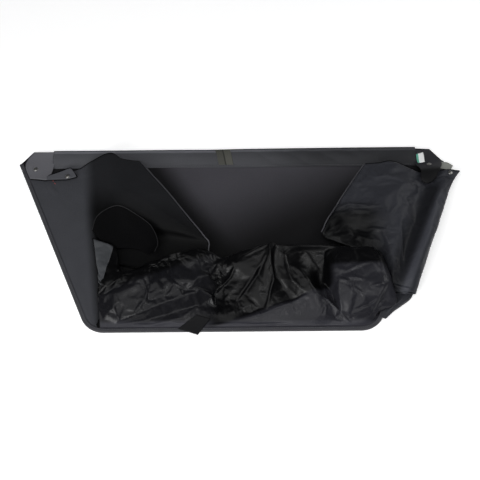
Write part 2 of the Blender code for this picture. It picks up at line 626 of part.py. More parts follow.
def snap(name, carrier, net, spot, cloth, material):
    """A snap through a cloth: cap and shank above, socket ring below, and the hole between.

    It sits flat on the small cell of cloth round its spot.
    """
    reach = SNAP_CELL / 2
    near = [Vector(net.at(spot[0] + a * reach, spot[1] + b * reach)) for a, b in ((-1, -1), (1, -1), (1, 1), (-1, 1))]
    point = sum(near, Vector()) * (MM / len(near))
    axis = (near[2] - near[0]).cross(near[3] - near[1]).normalized()
    if axis.dot(Vector(net.normal(*spot))) < 0:
        axis.negate()
    turn = axis.to_track_quat("Z", "Y").to_matrix().to_4x4()
    frame = Matrix.Translation(point) @ turn
    seat = cloth / 2 + SNAP_SEAT
    hole_radius = SNAP_SHANK_RADIUS + GAP
    tip = -(seat + SNAP_SOCKET_HEIGHT * 0.6)
    cap = turned(name + "_cap", [
        (0.0, tip), (SNAP_SHANK_RADIUS * 0.8, tip), (SNAP_SHANK_RADIUS, tip + 0.5), (SNAP_SHANK_RADIUS, seat),
        (SNAP_CAP_RADIUS - 0.4, seat), (SNAP_CAP_RADIUS, seat + 0.5), (SNAP_CAP_RADIUS * 0.8, seat + 1.3),
        (SNAP_CAP_RADIUS * 0.45, seat + SNAP_CAP_HEIGHT), (0.0, seat + SNAP_CAP_HEIGHT + 0.1),
    ], material)
    low = -(seat + SNAP_SOCKET_HEIGHT)
    socket = turned(name + "_socket", [
        (hole_radius, low), (SNAP_SOCKET_RADIUS - 0.6, low), (SNAP_SOCKET_RADIUS, low + 0.6),
        (SNAP_SOCKET_RADIUS, -seat - 0.5), (SNAP_SOCKET_RADIUS - 0.5, -seat), (hole_radius, -seat),
    ], material)
    for piece in (cap, socket):
        piece.matrix_basis = frame
    cutter = turned(name + "_hole", [
        (0.0, -cloth * 1.2), (hole_radius, -cloth * 1.2), (hole_radius, cloth * 1.2), (0.0, cloth * 1.2),
    ], material)
    cutter.matrix_basis = frame
    cutter.hide_render = True
    cutter.display_type = "WIRE"
    cut = carrier.modifiers.new("Hole", "BOOLEAN")
    cut.operation = "DIFFERENCE"
    cut.object = cutter


def centre_on_origin():
    """Stand the root so that the middle of the whole part's underside is the origin."""
    bpy.context.view_layer.update()
    graph = bpy.context.evaluated_depsgraph_get()
    corners = []
    for piece in bpy.context.collection.objects:
        if piece.type != "MESH" or piece.hide_render:
            continue
        made = piece.evaluated_get(graph)
        mesh = made.to_mesh()
        corners += [made.matrix_world @ vertex.co for vertex in mesh.vertices]
        made.to_mesh_clear()
    low = [min(corner[axis] for corner in corners) for axis in range(3)]
    high = [max(corner[axis] for corner in corners) for axis in range(3)]
    ROOT.location = (-(low[0] + high[0]) / 2, -(low[1] + high[1]) / 2, -low[2])


clear_scene()
ROOT = bpy.data.objects.new("hopper_bag_root", None)
bpy.context.collection.objects.link(ROOT)

PANEL_CLOTH = finish("coated_polyester_panel", (0.045, 0.045, 0.052), 0.6)
WALL_FINISH = finish("coated_polyester_wall", (0.035, 0.036, 0.042), 0.55)
GLOSSY_VINYL = finish("glossy_vinyl", (0.02, 0.02, 0.022), 0.25)
WOVEN = finish("woven_sleeve_cloth", (0.045, 0.048, 0.053), 0.75)
BINDING_FINISH = finish("binding_tape", (0.03, 0.03, 0.033), 0.6)
STEEL = finish("plated_snap_steel", (0.55, 0.55, 0.56), 0.35, 1.0)
WHITE_FILM = finish("white_label_film", (0.8, 0.8, 0.8), 0.5)
OLIVE_TAPE = finish("olive_repair_tape", (0.09, 0.09, 0.08), 0.7)
PALE_WEBBING = finish("pale_webbing", (0.35, 0.36, 0.33), 0.8)

rear_panel(PANEL_CLOTH)
edge_binding(BINDING_FINISH)

SLEEVE = sleeve_net()
net_piece("top_sleeve", SLEEVE, SLEEVE_STEPS, 2, SLEEVE_CLOTH, WOVEN)
sleeve_patch(SLEEVE, OLIVE_TAPE)

LEFT = wall_net(LEFT_WALL, -1.0)
RIGHT = wall_net(RIGHT_WALL, 1.0)
net_piece("left_side_wall", LEFT, 2, 2, WALL_CLOTH, WALL_FINISH)
right_wall = net_piece("right_side_wall", RIGHT, 2, 2, WALL_CLOTH, WALL_FINISH)
grid_object("bottom_wall", folded(bottom_net(), 5, 3, VINYL_FOLDS), VINYL, GLOSSY_VINYL)
net_piece("left_gusset", gusset_net(), 4, 3, WALL_CLOTH, WALL_FINISH)
piping("left_mouth_piping", LEFT, 0.0, 6.0, BINDING_FINISH)
piping("right_mouth_piping", RIGHT, 0.0, 3.5, BINDING_FINISH)

LEFT_TAB = corner_net(LEFT_CORNER_TAB, -1.0)
SIDE_TAB = corner_net(LEFT_SIDE_TAB, -1.0)
RIGHT_TAB = corner_net(RIGHT_CORNER_TAB, 1.0)
left_tab = net_piece("left_corner_tab", LEFT_TAB, 2, 2, TAB_CLOTH, PANEL_CLOTH)
side_tab = net_piece("left_side_tab", SIDE_TAB, 2, 2, TAB_CLOTH, WALL_FINISH)
right_tab = net_piece("right_corner_tab", RIGHT_TAB, 2, 2, TAB_CLOTH, PANEL_CLOTH)
net_piece("corner_webbing", corner_net(CORNER_WEBBING, 1.0), 2, 2, TAB_CLOTH, PALE_WEBBING)
net_piece("pull_tab", Net(PULL_TAB), 2, 2, TAB_CLOTH, WALL_FINISH)
net_piece("corner_pleat", Net(CORNER_PLEAT), 2, 2, VINYL, GLOSSY_VINYL)
label_lift = TAB_CLOTH / 2 + LABEL_LIFT + LABEL_FILM / 2
patch_piece("blank_label", RIGHT_TAB, LABEL_CORNERS, (4, 4), label_lift, LABEL_FILM, WHITE_FILM)

snap("left_corner_snap", left_tab, LEFT_TAB, LEFT_TAB_SNAP, TAB_CLOTH, STEEL)
snap("left_side_snap", side_tab, SIDE_TAB, LEFT_SIDE_SNAP, TAB_CLOTH, STEEL)
snap("right_corner_snap", right_tab, RIGHT_TAB, RIGHT_TAB_SNAP, TAB_CLOTH, STEEL)
snap("right_wall_snap", right_wall, RIGHT, RIGHT_WALL_SNAP, WALL_CLOTH, STEEL)

centre_on_origin()
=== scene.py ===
"""Looks of a lawn sweeper's hopper bag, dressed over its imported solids.

The empty bag lies on its stiff rear panel with the mouth up. Its side walls are folded in,
its thin vinyl bottom wall is crumpled along the lower edge, and a tube sleeve runs along
the top. Shapes are worked out in millimetres in the panel's own frame: X along the panel's
bottom edge from its middle, Y up the panel, Z up from the floor. ROOT carries them to the
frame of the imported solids, in metres.
"""
import math

import bmesh
import bpy
import numpy as np
from mathutils import Matrix, Vector
from mathutils.geometry import delaunay_2d_cdt


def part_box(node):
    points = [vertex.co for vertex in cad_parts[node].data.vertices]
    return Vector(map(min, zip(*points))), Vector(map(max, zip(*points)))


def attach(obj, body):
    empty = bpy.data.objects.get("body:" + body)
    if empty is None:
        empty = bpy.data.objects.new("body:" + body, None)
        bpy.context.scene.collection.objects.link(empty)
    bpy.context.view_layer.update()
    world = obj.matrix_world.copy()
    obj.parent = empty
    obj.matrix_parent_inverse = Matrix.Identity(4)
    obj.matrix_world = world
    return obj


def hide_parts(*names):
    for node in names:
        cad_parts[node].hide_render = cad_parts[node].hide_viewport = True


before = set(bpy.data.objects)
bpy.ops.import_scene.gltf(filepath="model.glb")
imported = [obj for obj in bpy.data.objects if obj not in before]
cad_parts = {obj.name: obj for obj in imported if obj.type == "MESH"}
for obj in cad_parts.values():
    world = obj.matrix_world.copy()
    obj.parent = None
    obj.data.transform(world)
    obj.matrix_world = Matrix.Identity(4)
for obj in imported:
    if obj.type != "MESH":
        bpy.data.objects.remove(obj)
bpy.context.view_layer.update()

MM = 0.001

# A net's slope is taken this far to both sides of a point, in rows and columns
NORMAL_STEP = 0.02

# The binding runs round the panel's outline, so its box gives the panel frame's origin
BINDING_LOW, BINDING_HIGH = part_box("edge_binding")
ROOT = np.array([(BINDING_LOW.x + BINDING_HIGH.x) / 2, BINDING_LOW.y, 0.0])

# Camera, as the photograph was taken: the picture's half width and the focal length are in
# its pixels, the distance in metres, and the centre is what it looks at
VIEW_ELEVATION = math.radians(62.0)
VIEW_DISTANCE = 2.6
PICTURE_HALF = 240
FOCAL_LENGTH = 1040
VIEW_CENTRE = (20.0, 249.0, 0.0)
VIEW_ROLL = math.radians(-0.5)

# Panel outline
HALF_WIDTH = 551.0
HALF_FOOT = 347.0
WIDE_HEIGHT = 473.0
CHAMFER_IN = 34.0
CHAMFER_UP = 41.0
CORNER_RADIUS = 60.0
PANEL_TOP = WIDE_HEIGHT + CHAMFER_UP
LEAN = math.atan2(HALF_WIDTH - HALF_FOOT, WIDE_HEIGHT)
SIDE_LENGTH = math.hypot(HALF_WIDTH - HALF_FOOT, WIDE_HEIGHT)
CORNER_TURN = math.pi / 2 - LEAN
CORNER_CUT = CORNER_RADIUS * math.tan(CORNER_TURN / 2)
HALF_FLAT = HALF_FOOT - CORNER_CUT

# Layers at the panel's edge
PANEL_THICKNESS = 1.6
RIM_Z = 1.3
DISH_START = 14.0
DISH_RUN = 20.0
PANEL_INSET = 1.3
GAP = 0.3
FLANGE_Z = 3.8
FLANGE_END = 11.5
FLANGE_LIFT = 0.3
WALL_TURN = 2.5
VINYL_TURN = 3.5
BINDING_TOP = 5.7
BINDING_TAPE = 1.0
BINDING_SEAM = 7.5
BINDING_BELOW = [10, BINDING_SEAM, 5, 3.2]
BINDING_ABOVE = [3.2, 5, 6.5, BINDING_SEAM, 8.5, 10]
NOSE_INSET = 2.4
NOSE_RADIUS = 1.9
SLEEVE_LEFT = -464.0
SLEEVE_RIGHT = 479.0
SLEEVE_DEPTH = 42.0

# Cloth thicknesses
WALL_CLOTH = 1.2
VINYL = 0.8
SLEEVE_CLOTH = 1.0
TAPE_CLOTH = 0.7
LABEL_FILM = 0.5
PIPING = 2.0
RIM_CLOTH = 1.0
# Strips of painted shadow lines under cloth edges
SHADOW_LINE_THICKNESS = 0.8

# Crumples of each cloth: (height, size of the facets, random seed)
SLEEVE_CRUMPLES = [(0.9, 30, 5), (0.35, 13, 8)]
LEFT_CRUMPLES = [(0.8, 42, 3), (0.35, 17, 4)]
RIGHT_CRUMPLES = [(1.2, 34, 6), (0.9, 14, 7), (0.3, 7, 9)]
VINYL_CRUMPLES = [(1.7, 38, 11), (0.8, 19, 12), (0.25, 9, 13)]

# Rear panel: rows in its corner arcs, up its sides and up its chamfers, columns, and the
# height of its slow swells
PANEL_ROWS = (14, 110, 12)
PANEL_COLUMNS = 221
PANEL_SWELL = 0.9

# Sleeve: the column of its grid under the stitches, and its section, (past the panel's top
# edge, height)
SLEEVE_SEAM = 52
SLEEVE_SECTION = [
    (-42, 0.5), (-16, 0.5), (-1, 0.5), (2.2, 2.1), (3, 4.5), (1, 8.4), (-6, 11.8), (-14, 13.4), (-25, 13.4),
    (-36, 10.4), (-46, 6.2), (-53, 4.3),
]

# Wall sections: (station round the outline, points), a point being (inward, up, height)
LEFT_WALL = [
    (2.95, [(66, -10, 5), (142, -1, 13), (183, 12, 34), (230, 29, 46), (261, 12, 44), (287, 7, 43), (307, 6, 42)]),
    (2.85, [(63, -16, 9), (126, -14, 16), (178, -10, 32), (226, -5, 52), (264, -3, 54), (297, 1, 52), (319, 7, 46)]),
    (2.72, [(57, -6, 9), (108, -8, 16), (159, -10, 34), (214, -3, 60), (264, 1, 62), (306, 6, 58), (335, 11, 50)]),
    (2.59, [(49, -3, 9), (93, -5, 16), (130, -6, 34), (186, 12, 50), (266, 0, 54), (326, -8, 54), (368, -11, 49)]),
    (2.54, [(48, 0, 9), (89, -2, 16), (119, -2, 34), (171, 14, 34), (261, -2, 40), (341, -23, 46), (393, -33, 42)]),
    (2.48, [(44, 0, 9), (82, -1, 16), (110, 2, 34), (153, 16, 14), (249, 0, 18), (349, -20, 28), (394, -33, 33)]),
    (2.40, [(40, -2, 9), (74, -3, 15), (100, -2, 34), (118, -6, 16), (180, -30, 10), (270, -50, 11), (345, -68, 17)]),
    (2.34, [(38, -3, 9), (68, -3, 14), (92, 0, 32), (102, 0, 28), (108, -1, 20), (112, -2, 13), (116, -4, 8)]),
    (2.20, [(30, -2, 8), (52, -2, 12), (73, 1, 26), (80, 2, 22), (85, 2, 16), (88, 2, 11), (91, 2, 7.5)]),
    (2.05, [(22, 2, 6.5), (34, 3, 8), (48, 6, 14), (53, 7, 12), (56, 8, 10), (59, 8, 8), (62, 8, 7)]),
    (1.75, [(16, 4, 5.4), (20, 7, 6), (25, 9, 6.6), (28, 11, 6.3), (30, 12, 6), (32, 13, 5.8), (34, 14, 5.6)]),
    (1.30, [(2, 16, 5.2), (4, 20, 5.6), (6, 24, 5.8), (6, 28, 6), (6, 32, 6), (6, 36, 6.2), (6, 40, 6.4)]),
]
RIGHT_WALL = [
    (2.96, [(17, -4, 7.5), (8, -10, 10.5), (-43, -19, 14), (-10, -19, 21), (30, -27, 19), (61, -28, 24),
            (133, -7, 44), (170, -13, 46), (203, -14, 44)]),
    (2.87, [(17, -2, 7.5), (8, -8, 10.5), (-38, -13, 18), (-10, -21, 30), (27, -25, 22), (70, -36, 38),
            (128, -37, 52), (178, -35, 50), (225, -35, 46)]),
    (2.74, [(17, -2, 7.5), (6, -6, 11), (-41, -10, 22), (-16, -19, 42), (24, -22, 28), (71, -35, 46),
            (122, -39, 54), (181, -35, 52), (235, -34, 46)]),
    (2.59, [(17, -1, 7.5), (5, -5, 11), (-44, -9, 24), (-22, -15, 46), (20, -22, 28), (63, -27, 48),
            (112, -17, 52), (179, -1, 44), (243, -30, 42)]),
    (2.47, [(17, -1, 7.5), (5, -5, 11), (-46, -8, 24), (-26, -15, 48), (16, -22, 30), (53, -17, 48),
            (94, 0, 36), (150, 14, 22), (215, -6, 26)]),
    (2.34, [(17, -1, 7.5), (4, -4, 11), (-48, -9, 24), (-28, -12, 48), (12, -21, 34), (36, -10, 42),
            (48, 0, 36), (56, 2, 26), (62, 2, 16)]),
    (2.22, [(16, -1, 7.5), (3, -4, 11), (-50, -9, 22), (-33, -12, 44), (-2, -17, 32), (14, -13, 34),
            (22, -6, 30), (28, -3, 24), (32, -2, 18)]),
    (2.14, [(14, -1, 7.2), (2, -4, 10), (-52, -9, 16), (-37, -9, 30), (-16, -7, 24), (-3, -6, 26),
            (5, -3, 22), (10, -2, 18), (14, -1, 14)]),
]
# Bottom wall sections: (station, points), a point being (to the right, up, height)
BOTTOM_WALL = [
    (-1.18, [(0, 46, 12.5), (-4, 80, 20), (-6, 111, 28), (-10, 153, 33), (-15, 200, 36), (-21, 238, 38)]),
    (-0.94, [(-9, 45, 12), (-14, 73, 22), (-14, 99, 34), (-12, 119, 42), (-3, 169, 34), (3, 217, 26)]),
    (-0.84, [(-6, 37, 8), (-6, 70, 28), (-6, 103, 42), (-4, 128, 48), (-4, 139, 42), (-4, 143, 32)]),
    (-0.64, [(-5, 39, 9), (-7, 74, 30), (-7, 110, 44), (-3, 147, 50), (-2, 158, 44), (-1, 162, 34)]),
    (-0.42, [(-6, 41, 9), (-8, 78, 26), (-10, 114, 44), (-9, 166, 50), (-8, 178, 46), (-7, 184, 38)]),
    (-0.23, [(3, 46, 8), (5, 80, 14), (5, 117, 36), (3, 161, 46), (3, 187, 49), (5, 206, 46)]),
    (-0.08, [(-5, 45, 8), (-15, 86, 12), (-17, 112, 24), (-14, 140, 34), (-9, 160, 42), (-5, 183, 34)]),
    (0.10, [(-12, 49, 10), (-22, 83, 18), (-26, 113, 28), (-26, 143, 38), (-21, 166, 46), (-11, 196, 40)]),
    (0.28, [(-15, 43, 12), (-24, 74, 24), (-24, 106, 36), (-14, 142, 48), (1, 181, 58), (12, 204, 60)]),
    (0.45, [(-5, 41, 14), (-14, 74, 22), (-23, 109, 28), (-27, 144, 34), (-27, 174, 46), (-24, 202, 57)]),
    (0.62, [(0, 38, 20), (2, 63, 34), (5, 85, 44), (-15, 122, 50), (-36, 164, 50), (-32, 204, 52)]),
    (0.77, [(4, 29, 16), (-3, 56, 26), (-11, 88, 24), (-21, 122, 20), (-17, 166, 34), (-6, 205, 49)]),
    (0.93, [(-5, 24, 12), (-22, 46, 34), (-29, 80, 52), (-30, 112, 58), (-32, 166, 52), (-29, 204, 49)]),
    (1.13, [(-4, 27, 16), (-13, 50, 46), (-17, 86, 60), (-17, 122, 62), (-22, 167, 58), (-24, 196, 54)]),
    (1.61, [(0, 30, 20), (3, 44, 40), (6, 73, 56), (3, 114, 60), (2, 153, 58), (-5, 183, 52)]),
    (1.99, [(-6, 11, 9), (24, 22, 14), (30, 44, 28), (19, 76, 40), (11, 121, 46), (-2, 153, 48)]),
]
GUSSET_STATION = 2.48
LEFT_GUSSET = [
    [(108, 12, 41), (120, 44, 53), (152, 65, 61), (179, 67, 63), (214, 47, 61), (254, 15, 57), (272, -26, 50),
     (265, -50, 44)],
    [(130, -14, 31), (140, 12, 35), (157, 25, 36), (180, 28, 34), (208, 18, 33), (236, -4, 31), (254, -26, 30),
     (256, -42, 30)],
    [(142, -38, 23), (153, -32, 21), (171, -28, 19), (191, -26, 18), (211, -28, 18), (226, -32, 19), (238, -38, 21),
     (246, -46, 24)],
]
# Tabs: rows of (inwards from the widest corner, up, height)
LEFT_CORNER_TAB = [
    [(36, 36, 6.0), (55, 36, 7.4), (76, 36, 8.0), (90, 36, 8.2)],
    [(21, 16, 4.6), (47, 13, 6), (73, 14, 6.4), (90, 15, 5)],
    [(17, -9, 6.2), (43, -15, 7.6), (70, -13, 7.6), (90, -10, 7.4)],
    [(32, -44, 7.4), (52, -47, 9.5), (76, -50, 10.8), (84, -40, 10.8)],
]
LEFT_SIDE_TAB = [
    [(76, -40, 12.4), (109, -30, 16), (135, -22, 21), (143, -30, 22)],
    [(76, -46, 12.4), (110, -42, 16), (134, -38, 20), (149, -39, 22)],
    [(77, -51, 12.4), (111, -52, 16), (131, -53, 19.5), (154, -48, 22)],
]
RIGHT_CORNER_TAB = [
    [(77, 36, 11), (63, 36, 10), (50, 36, 9), (36, 36, 6.5)],
    [(77, 17, 10), (62, 16, 10), (42, 17, 8.5), (21, 17, 5)],
    [(77, -7, 8), (62, -13, 14), (38, -11, 16), (8, -6, 10)],
    [(68, -43, 34), (52, -43, 35), (34, -42, 35), (17, -38, 32)],
    [(71, -64, 38), (60, -68, 39), (45, -68, 39), (28, -60, 37)],
    [(69, -76, 35), (58, -83, 35), (45, -81, 35), (31, -68, 33)],
    [(66, -70, 29), (57, -75, 29), (44, -73, 29), (33, -64, 29)],
]
CORNER_WEBBING = [
    [(17, -29, 6.6), (14, -16, 6.6), (9, -3, 6.6)],
    [(-4, -29, 6.6), (-6, -17, 6.6), (-8, -5, 6.6)],
    [(-13, -29, 6.8), (-18, -22, 6.8), (-22, -15, 6.8)],
]
PULL_TAB = [
    [(-130, 7, 6.8), (-106, -1, 6.8), (-82, -9, 6.8)],
    [(-108, 24, 9.6), (-90, 18, 9), (-68, 11, 8.4)],
    [(-85, 41, 13), (-70, 36, 12), (-53, 31, 11)],
]
CORNER_PLEAT = [
    [(380, 98, 8.0), (400, 99, 9.4), (418, 99, 11.5), (434, 98, 12.5), (441, 97, 10.0)],
    [(373, 76, 7.0), (390, 76, 9.0), (408, 77, 11.5), (424, 79, 10.5), (430, 79, 6.5)],
    [(366, 61, 7.0), (380, 61, 8.8), (392, 62, 10.5), (403, 63, 9.5), (409, 63, 5.5)],
    [(359, 47, 6.9), (367, 46, 7.6), (376, 46, 8.4), (382, 46, 8.0), (387, 47, 5.5)],
    [(353, 33, 6.9), (357, 31, 7.0), (361, 30, 7.2), (365, 29, 7.0), (368, 29, 5.5)],
]
LABEL_CORNERS = [(0.95, 0.35), (0.62, 1.55), (1.85, 1.5), (1.95, 0.6)]
LABEL_LIFT = 0.8
LABEL_BAND = 5.5
PATCH_LEFT_TOP = -43.0
PATCH_WIDTH = 38.0
PATCH_SLANT = 10.0
PATCH_SPAN = (5.5, 10.0)
PATCH_CLEARANCE = 0.6
PATCH_STEPS = (40, 24)
PATCH_GROOVE = (0.5, 0.06)
LEFT_TAB_SNAP = (2.05, 1.0)
LEFT_SIDE_SNAP = (1.45, 1.85)
RIGHT_TAB_SNAP = (2.25, 1.75)
RIGHT_WALL_SNAP = (0.25, 5.75)

# Folds in the vinyl, each a line of (x, y, height): the roll at the left, the fan of pleats
# in the middle, the smooth triangle and the standing box at the right
VINYL_FOLDS = [
    [(-307, 66, 26), (-292, 47, 28), (-268, 26, 20), (-228, 36, 28), (-196, 49, 32), (-162, 63, 34), (-118, 81, 36),
     (-79, 93, 38)],
    [(-310, 32, 8), (-287, 19, 7), (-245, 24, 8), (-202, 32, 9), (-145, 48, 10), (-82, 65, 12), (-61, 75, 12)],
    [(-321, 118, 34), (-303, 107, 40), (-284, 95, 42), (-250, 105, 44), (-212, 114, 46), (-183, 121, 47),
     (-139, 110, 46), (-101, 115, 47), (-81, 123, 50), (-58, 131, 46)],
    [(-275, 130, 44), (-200, 143, 47), (-142, 156, 49), (-82, 147, 47)],
    [(-212, 114, 46), (-205, 88, 43), (-207, 71, 38)],
    [(-167, 76, 36), (-139, 110, 46), (-111, 97, 36), (-92, 104, 44), (-81, 123, 50)],
    [(-92, 104, 44), (-50, 85, 26)],
    [(-283, 51, 33), (-256, 53, 27), (-230, 46, 31)],
    [(-184, 22, 12), (-120, 33, 13)],
    [(-54, 142, 30), (-34, 166, 38), (-15, 145, 22)],
    [(7, 156, 40), (-5, 133, 24), (-28, 112, 16), (-44, 97, 10), (-39, 61, 8)],
    [(14, 172, 42), (34, 182, 46), (61, 193, 53), (93, 203, 60)],
    [(93, 203, 60), (73, 160, 47), (43, 118, 33), (9, 73, 16)],
    [(63, 143, 34), (29, 97, 18)],
    [(93, 203, 60), (101, 121, 38), (91, 87, 24), (83, 55, 12)],
    [(107, 132, 30), (130, 104, 20), (157, 78, 15)],
    [(128, 180, 52), (135, 148, 47), (146, 115, 41), (163, 98, 38), (183, 86, 37)],
    [(183, 86, 37), (139, 65, 24), (71, 42, 14), (-1, 25, 8)],
    [(183, 86, 37), (230, 70, 28), (260, 41, 15), (286, 13, 7)],
    [(163, 80, 19), (125, 72, 12), (67, 58, 8)],
    [(226, 142, 22), (222, 120, 17), (240, 100, 16), (247, 75, 13)],
    [(179, 196, 38), (228, 195, 38)],
    [(254, 113, 50), (255, 78, 38), (265, 39, 16), (288, 13, 6)],
    [(235, 144, 40), (276, 134, 57), (304, 147, 61), (340, 159, 59)],
    [(302, 192, 52), (331, 188, 54), (339, 205, 52)],
    [(339, 205, 52), (351, 178, 55), (363, 142, 55), (374, 106, 49)],
    [(281, 34, 14), (326, 48, 31), (348, 65, 39), (374, 106, 49)],
    [(319, 16, 8), (334, 37, 16), (358, 70, 28)],
    [(287, 93, 53), (309, 78, 44), (327, 58, 33)],
    [(289, 116, 58), (318, 110, 55)],
    [(336, 129, 58), (358, 128, 55)],
]
FOLD_BORDER_STEP = 10
FOLD_START = 2

# Where the vinyl lies smooth between its folds, and the front of the box at its right
SMOOTH_TRIANGLE = [(183, 86), (-1, 25), (286, 13)]
BOX_FRONT = [(286, 20), (374, 106), (340, 159), (276, 134), (254, 113)]

# Creases raised in the side walls: (line of (x, y), height, half width)
LEFT_CREASES = [
    ([(-473, 421), (-461, 399), (-446, 377)], 2.8, 8.0),
    ([(-481, 416), (-475, 388)], 2.2, 6.0),
    ([(-448, 367), (-401, 322)], 0.7, 12.0),
    ([(-350, 274), (-339, 213), (-332, 144), (-322, 32)], 1.2, 8.0),
    ([(-335, 406), (-203, 319), (-78, 237)], 3.0, 42.0),
    ([(-390, 421), (-368, 420), (-348, 424)], -1.4, 8.0),
]
RIGHT_CREASES = [
    ([(358, 396), (388, 402), (421, 396), (446, 381)], 2.7, 6.5),
    ([(364, 377), (405, 384), (435, 376)], 2.0, 5.8),
    ([(247, 312), (295, 320), (352, 314)], 3.7, 7.2),
    ([(259, 295), (307, 304), (346, 300)], 3.1, 6.5),
    ([(418, 278), (417, 219), (413, 132)], 5.1, 6.5),
    ([(401, 175), (404, 138)], 3.4, 5.0),
    ([(432, 337), (447, 319)], 4.1, 5.0),
    ([(439, 295), (465, 259)], 3.1, 5.0),
    ([(410, 315), (388, 285)], 3.1, 5.0),
    ([(397, 269), (372, 242)], 3.1, 5.0),
    ([(341, 260), (372, 249), (386, 206)], 4.4, 6.5),
    ([(383, 109), (439, 88)], 4.4, 5.8),
]

# Ridges in the vinyl, the same way, most of them along its folds
FOLD_LINES = [[point[:2] for point in fold] for fold in VINYL_FOLDS]
VINYL_RIDGES = [
    ([(-60, 17), (0, 19), (60, 17), (150, 19)], 2.2, 4.0),
    ([(-240, 19), (-190, 18), (-150, 23), (-100, 19)], 2.2, 4.0),
    (FOLD_LINES[11], 1.6, 5.0),
    (FOLD_LINES[12], 1.6, 5.0),
    (FOLD_LINES[13], 1.4, 5.0),
    (FOLD_LINES[14], 1.8, 5.0),
    (FOLD_LINES[15], 1.4, 5.0),
    (FOLD_LINES[16], 2.0, 5.0),
    (FOLD_LINES[17], 1.4, 4.0),
    (FOLD_LINES[18], 1.8, 5.0),
    (FOLD_LINES[5], 1.8, 5.0),
    (FOLD_LINES[9], 2.0, 6.0),
    (FOLD_LINES[10][:4], 1.6, 5.0),
    (FOLD_LINES[23], 2.2, 6.0),
    (FOLD_LINES[22][:3], 1.6, 5.0),
    ([(255, 113), (284, 102)], 4.0, 6.0),
    ([(334, 92), (361, 98)], 4.0, 6.0),
    (FOLD_LINES[25], 1.6, 5.0),
    (FOLD_LINES[26], 1.8, 5.0),
    (FOLD_LINES[28], 1.6, 5.0),
    (FOLD_LINES[29], 1.6, 5.0),
    ([(-349, 250), (-311, 239), (-287, 204), (-270, 173)], 1.6, 6.0),
    (FOLD_LINES[4], 1.4, 5.0),
    (FOLD_LINES[8], 1.2, 5.0),
]

# Snap fasteners
SNAP_SEAT = 0.5
SNAP_CELL = 0.5
SNAP_SIDES = 40
CAP_PROFILE = [(0.0, 1.9), (1.6, 1.85), (3.2, 1.6), (4.8, 1.15), (5.7, 0.7), (6.0, 0.3), (5.8, 0.05), (5.2, 0.0),
               (2.0, 0.0), (2.0, -2.9), (1.6, -3.3), (0.0, -3.3)]
SOCKET_PROFILE = [(2.3, 0.0), (5.0, 0.0), (5.5, -0.5), (5.5, -1.8), (4.9, -2.4), (3.4, -2.4), (3.1, -2.1), (2.3, -2.1)]

# Threads
STITCH_LENGTH = 3.4
STITCH_PITCH = 4.6
THREAD_WIDTH = 0.8
THREAD_LIFT = 0.1
UP = (0, 0, 1)
BASTING_LENGTH = 7.0
BASTING_PITCH = 10.0
BASTING_WIDTH = 2.4
BASTING_PLACES = [(-462, 426), (-458, 419), (-453, 412), (-449, 405)]

# Strips along cloth edges: bound mouth edges, the part of the vinyl's grid that the lighter strip of painted highlight
# copies, and the gusset's rim
PIPING_GAP = 0.9
PIPING_WIDTH = 3.0
LEFT_PIPING_ROWS = 84
RIGHT_PIPING_ROWS = 63
HIGHLIGHT_STRIP_PART = (slice(1, 19), slice(62, 96))
HIGHLIGHT_STRIP_NARROWING = 0.55
HIGHLIGHT_STRIP_LIFT = 1.3
RIM_REACH = (-0.8, -0.3, 0.3, 0.8)
RIM_LIFT = 0.9

# Floor, half its side, lamps, (name, place, aim, size, watts), and the sky's colour and
# strength, all in metres
FLOOR_HALF = 6.0
LAMPS = [
    ("key_softbox", (-0.3, -0.95, 2.3), (0.0, 0.0, 0.0), (3.6, 2.5), 42),
    ("low_front_softbox", (-1.3, -2.0, 1.25), (0.0, 0.0, 0.0), (1.2, 0.9), 30),
    ("right_strip", (2.2, 1.2, 1.5), (0.45, 0.0, 0.0), (0.5, 1.6), 14),
    ("crease_spark", (0.3, -0.9, 2.6), (0.2, 0.0, 0.0), (0.3, 0.3), 4),
]
SKY = ("#DADCE0", 0.12)


def linear(code):
    """An sRGB hex colour as linear red, green and blue, and an alpha of 1."""
    parts = [int(code[i:i + 2], 16) / 255 for i in (1, 3, 5)]
    return (*[c / 12.92 if c <= 0.04045 else ((c + 0.055) / 1.055) ** 2.4 for c in parts], 1.0)


def add(tree, kind, inputs=(), **settings):
    """One node with its settings; each input is a value, or the socket that feeds it."""
    node = tree.nodes.new(kind)
    for name, value in settings.items():
        setattr(node, name, value)
    for name, value in dict(inputs).items():
        if isinstance(value, bpy.types.NodeSocket):
            tree.links.new(value, node.inputs[name])
        else:
            node.inputs[name].default_value = value
    return node


def material(name):
    """An empty material's tree with its shader."""
    made = bpy.data.materials.new(name)
    made.use_nodes = True
    return made, made.node_tree, made.node_tree.nodes["Principled BSDF"]


def per_size(millimetres):
    """The scale at which a noise texture's features have that size."""
    return 1 / (millimetres * MM)


def per_thread(millimetres):
    """The scale at which a wave texture has that period."""
    return 2 * math.pi / (20 * millimetres * MM)


def scaled(tone, share):
    """The colour times a share, with an alpha of 1."""
    return tuple(c * share for c in tone[:3]) + (1.0,)


def woven(tree, where, millimetres):
    """Heights of a plain weave: waves of that period across the cloth, times waves along it."""
    warp = add(tree, "ShaderNodeTexWave", {"Vector": where.outputs["UV"], "Scale": per_thread(millimetres)},
               bands_direction="X")
    weft = add(tree, "ShaderNodeTexWave", {"Vector": where.outputs["UV"], "Scale": per_thread(millimetres)},
               bands_direction="Y")
    crossed = add(tree, "ShaderNodeMath", {0: warp.outputs["Fac"], 1: weft.outputs["Fac"]}, operation="MULTIPLY")
    return crossed.outputs[0]


